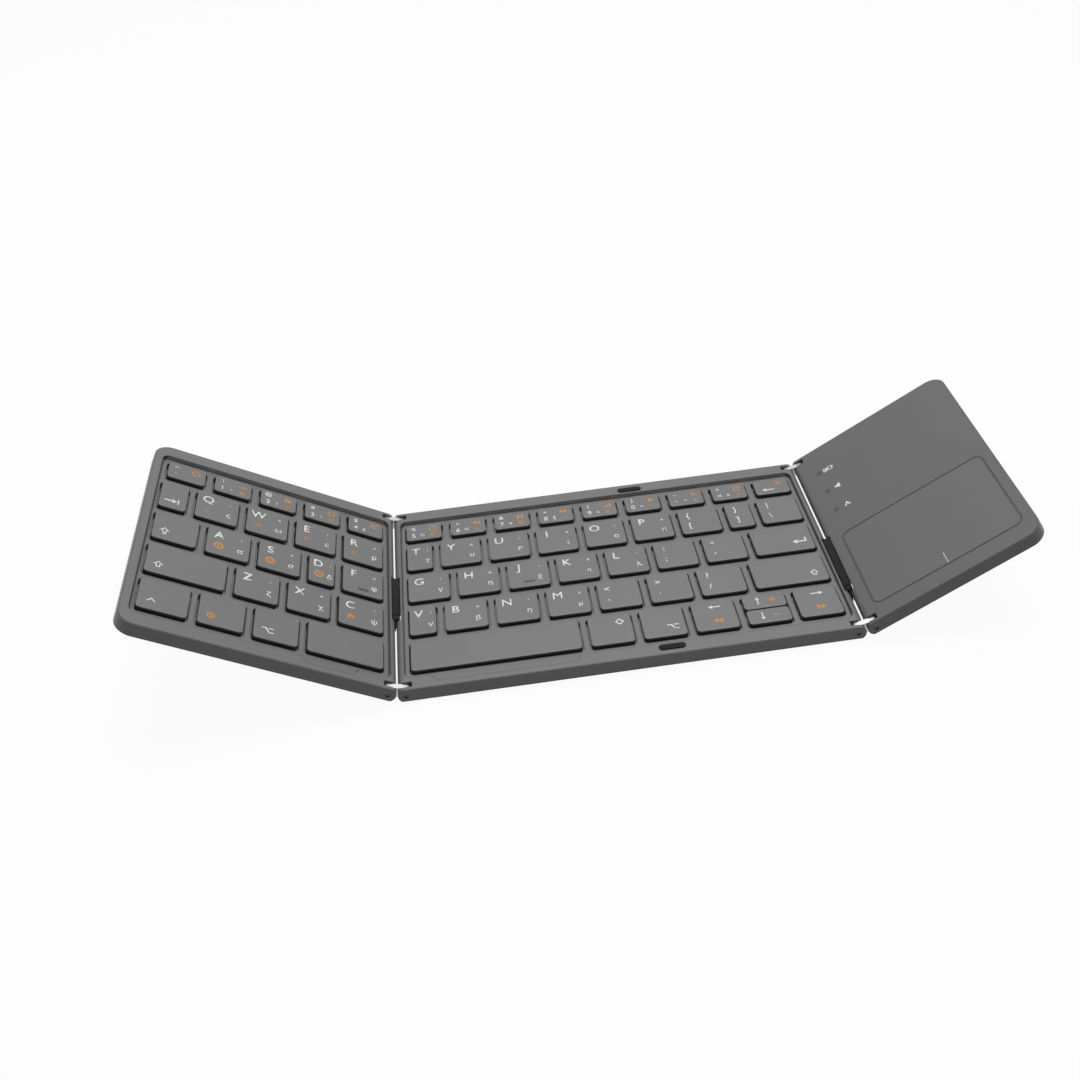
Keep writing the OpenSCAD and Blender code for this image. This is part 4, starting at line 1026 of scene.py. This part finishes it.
rubber = spark_textured("moulded_rubber", "#1D1D1E", 0.35, 0.8, 0.2)
bumper_levels = [(inset, THICKNESS + height) for inset, height in (
    (0.3, -0.5), (0.0, -0.4), (0.0, 0.12), (0.05, 0.2), (0.14, 0.27), (0.3, 0.3),
    (0.6, 0.3))]
pads = bmesh.new()
for way in (-1, 1):
    pad = shell("bumper", BUMPER_LENGTH, BUMPER_WIDTH, BUMPER_WIDTH / 2 - 0.01,
                bumper_levels, steps=8)
    pad.transform(Matrix.Translation(Vector((BUMPER_X, way * BUMPER_Y, 0)) * MM))
    pads.from_mesh(pad)
pads_mesh = mesh_of("rubber_bumper_pads", pads)
pads_mesh.materials.append(rubber)
piece = place("rubber_bumper_pads", rounded(pads_mesh, CENTRE, angle=60))
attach(piece, "centre_panel")
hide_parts("bumper_pads")


# ---------- Rubber feet ----------
# Round black rubber discs glued into shallow seats under each panel, with a rolled edge
# and a slightly hollow face.

FOOT_RADIUS = 3.5
FOOT_INSET = 12.0
foot_x = PIVOT_SPAN / 2 - FOOT_INSET
foot_y = DEPTH / 2 - FOOT_INSET
FEET = {
    "centre_feet": (CENTRE, [(x, y) for x in (-foot_x, foot_x) for y in (-foot_y, foot_y)]),
    "left_feet": (LEFT, [(FOOT_INSET - LEFT_WIDTH, y) for y in (-foot_y, foot_y)]),
    "right_feet": (RIGHT, [(RIGHT_WIDTH - FOOT_INSET, y) for y in (-foot_y, foot_y)]),
}
foot_levels = [(1.6, -0.74), (0.9, -0.8), (0.5, -0.8), (0.25, -0.76), (0.08, -0.66),
               (0.0, -0.5), (0.0, 0.3)]
foot_source = place("foot", shell(
    "foot", 2 * FOOT_RADIUS, 2 * FOOT_RADIUS, FOOT_RADIUS - SHORT_OF_ROUND, foot_levels,
    steps=8))

for node_name, (side, places) in FEET.items():
    feet = grown("rubber_" + node_name, places, copy_tree, {
        "Part": foot_source, "Finish": rubber})
    piece = place("rubber_" + node_name, rounded(feet, side, angle=60))
    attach(piece, body_of_node[node_name])
    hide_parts(node_name)
bpy.data.objects.remove(foot_source)


# ---------- Screws ----------
# Small cross-head screws of blackened steel, with low round heads sunk into the bottom
# covers, which they hold to the frames.

SCREW_HEAD_RADIUS = 1.2
SCREW_RADIUS = 0.6
SCREW_HEAD = 0.45
SCREW_LENGTH = 1.8
SCREW_SLOT_WIDTH = 0.34
SCREW_SLOT_DEPTH = 0.28
SCREW_SLOT_SHARE = 1.25
SCREW_INSET = 3.2
HEAD_SIDES, SHANK_SIDES = 24, 16

# Panel and x of the columns that each panel's screws stand in
SCREWS = {
    "centre_screws": (CENTRE, (-60, 0, 60)),
    "left_screws": (LEFT, (-12, 18 - LEFT_WIDTH)),
    "right_screws": (RIGHT, (12, RIGHT_WIDTH - 12)),
}

screw_tree, given = geometry_tree("cross_head_screws", {
    "Places": "Geometry", "Head Radius": "Float", "Head Height": "Float",
    "Shank Radius": "Float", "Shank Length": "Float", "Slot Width": "Float",
    "Slot Depth": "Float", "Finish": "Material"}, "Screws")


def cylinder(tree, sides, radius, height, bottom):
    """A cylinder that stands on a level; all sizes but its sides are sockets."""
    shape = add(tree, "GeometryNodeMeshCylinder", {
        "Vertices": sides, "Radius": radius, "Depth": height})
    middle = reckon(tree, "MULTIPLY_ADD", height, 0.5, bottom)
    lift = add(tree, "ShaderNodeCombineXYZ", {"Z": middle})
    return add(tree, "GeometryNodeTransform", {"Geometry": shape, "Translation": lift})


# The head stands on the cover's outer side, two crossed blocks cut its slots, and the
# shank follows above it
screw_head = cylinder(screw_tree, HEAD_SIDES, given["Head Radius"], given["Head Height"],
                      0.0)
slot_length = reckon(screw_tree, "MULTIPLY", given["Head Radius"], SCREW_SLOT_SHARE)
slot_height = reckon(screw_tree, "MULTIPLY", given["Slot Depth"], 2.0)
for across, along in ((slot_length, given["Slot Width"]),
                      (given["Slot Width"], slot_length)):
    slot_size = add(screw_tree, "ShaderNodeCombineXYZ", {
        "X": across, "Y": along, "Z": slot_height})
    cutter = add(screw_tree, "GeometryNodeMeshCube", {"Size": slot_size})
    screw_head = add(screw_tree, "GeometryNodeMeshBoolean", {
        "Mesh 1": screw_head, "Mesh 2": cutter}, operation="DIFFERENCE", solver="EXACT")
shank = cylinder(screw_tree, SHANK_SIDES, given["Shank Radius"], given["Shank Length"],
                 given["Head Height"])
screw = add(screw_tree, "GeometryNodeJoinGeometry", {0: screw_head})
screw_tree.links.new(shank.outputs[0], screw.inputs[0])
copies = real_copies(screw_tree, given["Places"], screw)
send_out(screw_tree, copies, given["Finish"])


def metal(name, shade, roughness, grain_mm, stretch=(1, 1, 1)):
    """Bare or blackened metal, with fine rubbing marks drawn out along one way."""
    made, tree = blank_material(name)
    spot = add(tree, "ShaderNodeTexCoord").outputs["Object"]
    along = add(tree, "ShaderNodeMapping", {"Vector": spot, "Scale": stretch})
    marks, tone = mottled(tree, along, 1 / (grain_mm * MM), shade, (0.94, 1.0))
    rub = add(tree, "ShaderNodeMapRange", {
        0: marks, 3: roughness - 0.06, 4: roughness + 0.06})
    bump = add(tree, "ShaderNodeBump", {
        "Height": marks, "Strength": 0.2, "Distance": 0.01 * MM})
    give_surface(tree, {
        "Base Color": tone, "Roughness": rub, "Metallic": 1.0, "Normal": bump})
    return made


black_steel = metal("blackened_steel", "#3A3A3C", 0.45, 0.3)
for node_name, (side, columns) in SCREWS.items():
    places = [(x, way * (DEPTH / 2 - SCREW_INSET)) for x in columns for way in (-1, 1)]
    screws = grown("cross_head_" + node_name, places, screw_tree, {
        "Head Radius": SCREW_HEAD_RADIUS * MM, "Head Height": SCREW_HEAD * MM,
        "Shank Radius": SCREW_RADIUS * MM, "Shank Length": SCREW_LENGTH * MM,
        "Slot Width": SCREW_SLOT_WIDTH * MM, "Slot Depth": SCREW_SLOT_DEPTH * MM,
        "Finish": black_steel})
    piece = place("cross_head_" + node_name, rounded(screws, side, angle=30))
    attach(piece, body_of_node[node_name])
    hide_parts(node_name)


# ---------- Hinge links and pins ----------
# Two stamped stainless plates at each hinge, tumbled bright, which turn on ground steel
# pins pressed in from the panels' end faces.

bright_steel = metal("tumbled_stainless", "#B9B9B7", 0.38, 0.5, (1, 0.3, 1))
for links in ("left_hinge_links", "right_hinge_links"):
    finish(links, bright_steel)
pin_steel = metal("ground_steel", "#525253", 0.55, 0.3)
for pins in ("centre_hinge_pins", "left_hinge_pins", "right_hinge_pins"):
    finish(pins, pin_steel)


# ---------- Cable sleeves and flat cables ----------
# A moulded rubber sleeve guards the polyimide flat cable where it crosses each hinge. A
# thin tongue runs on from its thicker root.

SLEEVE_WIDTH = 2.9
SLEEVE_TOP, SLEEVE_BOTTOM = 2.1, -1.4
SLEEVE_CORNER = 0.5
EDGE_REACH, EDGE_DROP = 0.45, 0.4
ROOT_LENGTH = 2.2
ROOT_NARROWING = 0.9
ROOT_OVERLAP = 0.8
ROOT_TOP, ROOT_BOTTOM = 1.7, -1.2
ROOT_CORNER = 0.4
TONGUE_THICKNESS = 0.36
TONGUE_LENGTH = 5.5
TONGUE_HALF_HEIGHT = 1.0
CABLE_THICKNESS = 0.2
CABLE_CORNER = 0.09
CABLE_REACH = 1.1
CABLE_MARGIN = 4
SLEEVE_STEPS, CABLE_STEPS = 6, 8
SLEEVES = {LEFT: (20.5, -0.25), RIGHT: (27.0, -13.5)}
polyimide = spark_textured("black_polyimide_film", "#26221F", 0.8, 0.35)


def link_place(side):
    """Where a link drawn level from its inner pivot outwards stands; metres."""
    return (Matrix.Translation(Vector((side * PIVOT_SPAN / 2, 0, PIVOT_HEIGHT)) * MM)
            @ Matrix.Rotation(-side * LINK_ANGLE, 4, "Y"))


def slab(name, stations):
    """A closed mesh along X. Each station is (x, y low, y high, z low, z high, corner)."""
    return lofted(name, [
        [(x, (y0 + y1) / 2 + y, (z0 + z1) / 2 + z)
         for y, z, _, _ in outline(y1 - y0, z1 - z0, corner, steps=4)]
        for x, y0, y1, z0, z1, corner in stations])


def tidy_normals(mesh):
    """Turns every face of a closed mesh outwards."""
    worked = bmesh.new()
    worked.from_mesh(mesh)
    bmesh.ops.recalc_face_normals(worked, faces=worked.faces)
    worked.to_mesh(mesh)
    worked.free()


for side in (LEFT, RIGHT):
    side_name, link = SIDE_NAMES[side], link_place(side)
    length, middle_y = SLEEVES[side]
    y0, y1 = middle_y - length / 2, middle_y + length / 2
    half = SLEEVE_WIDTH / 2
    cable_half = (length - CABLE_MARGIN) / 2
    reach = LINK_PITCH / 2 + CABLE_REACH
    middle = side * LINK_PITCH / 2
    for part_name, way, panel_body in (
            ("inner", -1, "centre_panel"), ("outer", 1, f"{side_name}_wing")):
        sleeve_stations, root_stations = [], []
        for step in range(SLEEVE_STEPS + 1):
            across = half * step / SLEEVE_STEPS
            edge = max(0.0, across - half + EDGE_REACH) / EDGE_REACH
            drop = EDGE_DROP * (1 - math.sqrt(max(0.0, 1 - edge * edge)))
            sleeve_stations.append((
                way * across, y0 + drop, y1 - drop, SLEEVE_BOTTOM + drop,
                SLEEVE_TOP - drop, SLEEVE_CORNER))
            ahead = ROOT_LENGTH - ROOT_NARROWING * (step / SLEEVE_STEPS) ** 2 - drop
            root_stations.append((
                way * across, y0 - ahead, y0 + ROOT_OVERLAP, ROOT_BOTTOM + drop,
                ROOT_TOP - drop, ROOT_CORNER))
        cable_stations = [
            (way * reach * step / CABLE_STEPS, middle_y - cable_half, middle_y + cable_half,
             -CABLE_THICKNESS / 2, CABLE_THICKNESS / 2, CABLE_CORNER)
            for step in range(CABLE_STEPS + 1)]
        for kind, stations, material, slot_name, cad_kind in (
                ("cable_sleeve", sleeve_stations, rubber, "black_rubber", "cable_sleeve"),
                ("sleeve_root", root_stations, rubber, "black_rubber", "cable_sleeve"),
                ("flex_cable", cable_stations, polyimide, "flat_cable", "flex_cable")):
            piece_name = f"{side_name}_{kind}_{part_name}"
            mesh = slab(piece_name, stations)
            mesh.transform(link @ Matrix.Translation((middle * MM, 0, 0))
                           @ Matrix.Diagonal((side, 1, 1, 1)))
            tidy_normals(mesh)
            mesh.materials.append(material)
            mesh.shade_smooth()
            mesh.set_sharp_from_angle(angle=math.radians(50))
            piece = place(piece_name, mesh)
            end = link @ Vector((middle * MM, 0, 0))
            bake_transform(piece)
            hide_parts(f"{side_name}_{cad_kind}")
    tongue = slab(f"{side_name}_sleeve_tongue", [
        (ahead, -thick / 2, thick / 2, -high, high, corner)
        for ahead, thick, high, corner in (
            (-0.5, TONGUE_THICKNESS, TONGUE_HALF_HEIGHT, 0.12),
            (TONGUE_LENGTH - 0.1, TONGUE_THICKNESS, TONGUE_HALF_HEIGHT, 0.12),
            (TONGUE_LENGTH, TONGUE_THICKNESS - 0.16, TONGUE_HALF_HEIGHT - 0.08, 0.06))])
    tongue.transform(link @ Matrix.Translation(Vector((middle, y0, 0)) * MM)
                     @ Matrix.Rotation(math.radians(-90), 4, "Z"))
    tidy_normals(tongue)
    tongue.materials.append(rubber)
    tongue.shade_smooth()
    piece = place(f"{side_name}_sleeve_tongue", tongue)
    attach(piece, f"{side_name}_link")


# ---------- Charging socket ----------
# A folded steel shell on the main board, open at the wing's outer edge, with a black
# tongue inside that carries gold contacts. The whole node is given the plated steel here.

shell_steel = metal("nickel_plated_steel", "#B9B9B6", 0.32, 0.6)
finish("charging_socket", shell_steel)


# ---------- Parts inside the panels ----------
# Steel support plates and printed circuit sheets under the keys; boards, switch and
# foil-wrapped battery in the touchpad wing.

support_steel = metal("cold_rolled_steel", "#A9AAAA", 0.4, 0.8, (0.2, 1, 1))
for plate in ("centre_support_plate", "left_support_plate", "touchpad_switch"):
    finish(plate, support_steel)
circuit_film = spark_textured("printed_circuit_film", "#2C4A44", 1.5, 0.35)
solder_mask = spark_textured("green_solder_mask", "#1F5A35", 0.7, 0.3)
battery_foil = metal("aluminium_foil_wrap", "#C4C7CA", 0.35, 2.0)
for node_name, material in (
        ("centre_circuit_sheet", circuit_film), ("left_circuit_sheet", circuit_film),
        ("centre_dome_sheet", silicone), ("left_dome_sheet", silicone),
        ("centre_scissors", acetal), ("left_scissors", acetal),
        ("main_board", solder_mask), ("touchpad_sensor_board", solder_mask),
        ("battery", battery_foil)):
    finish(node_name, material)
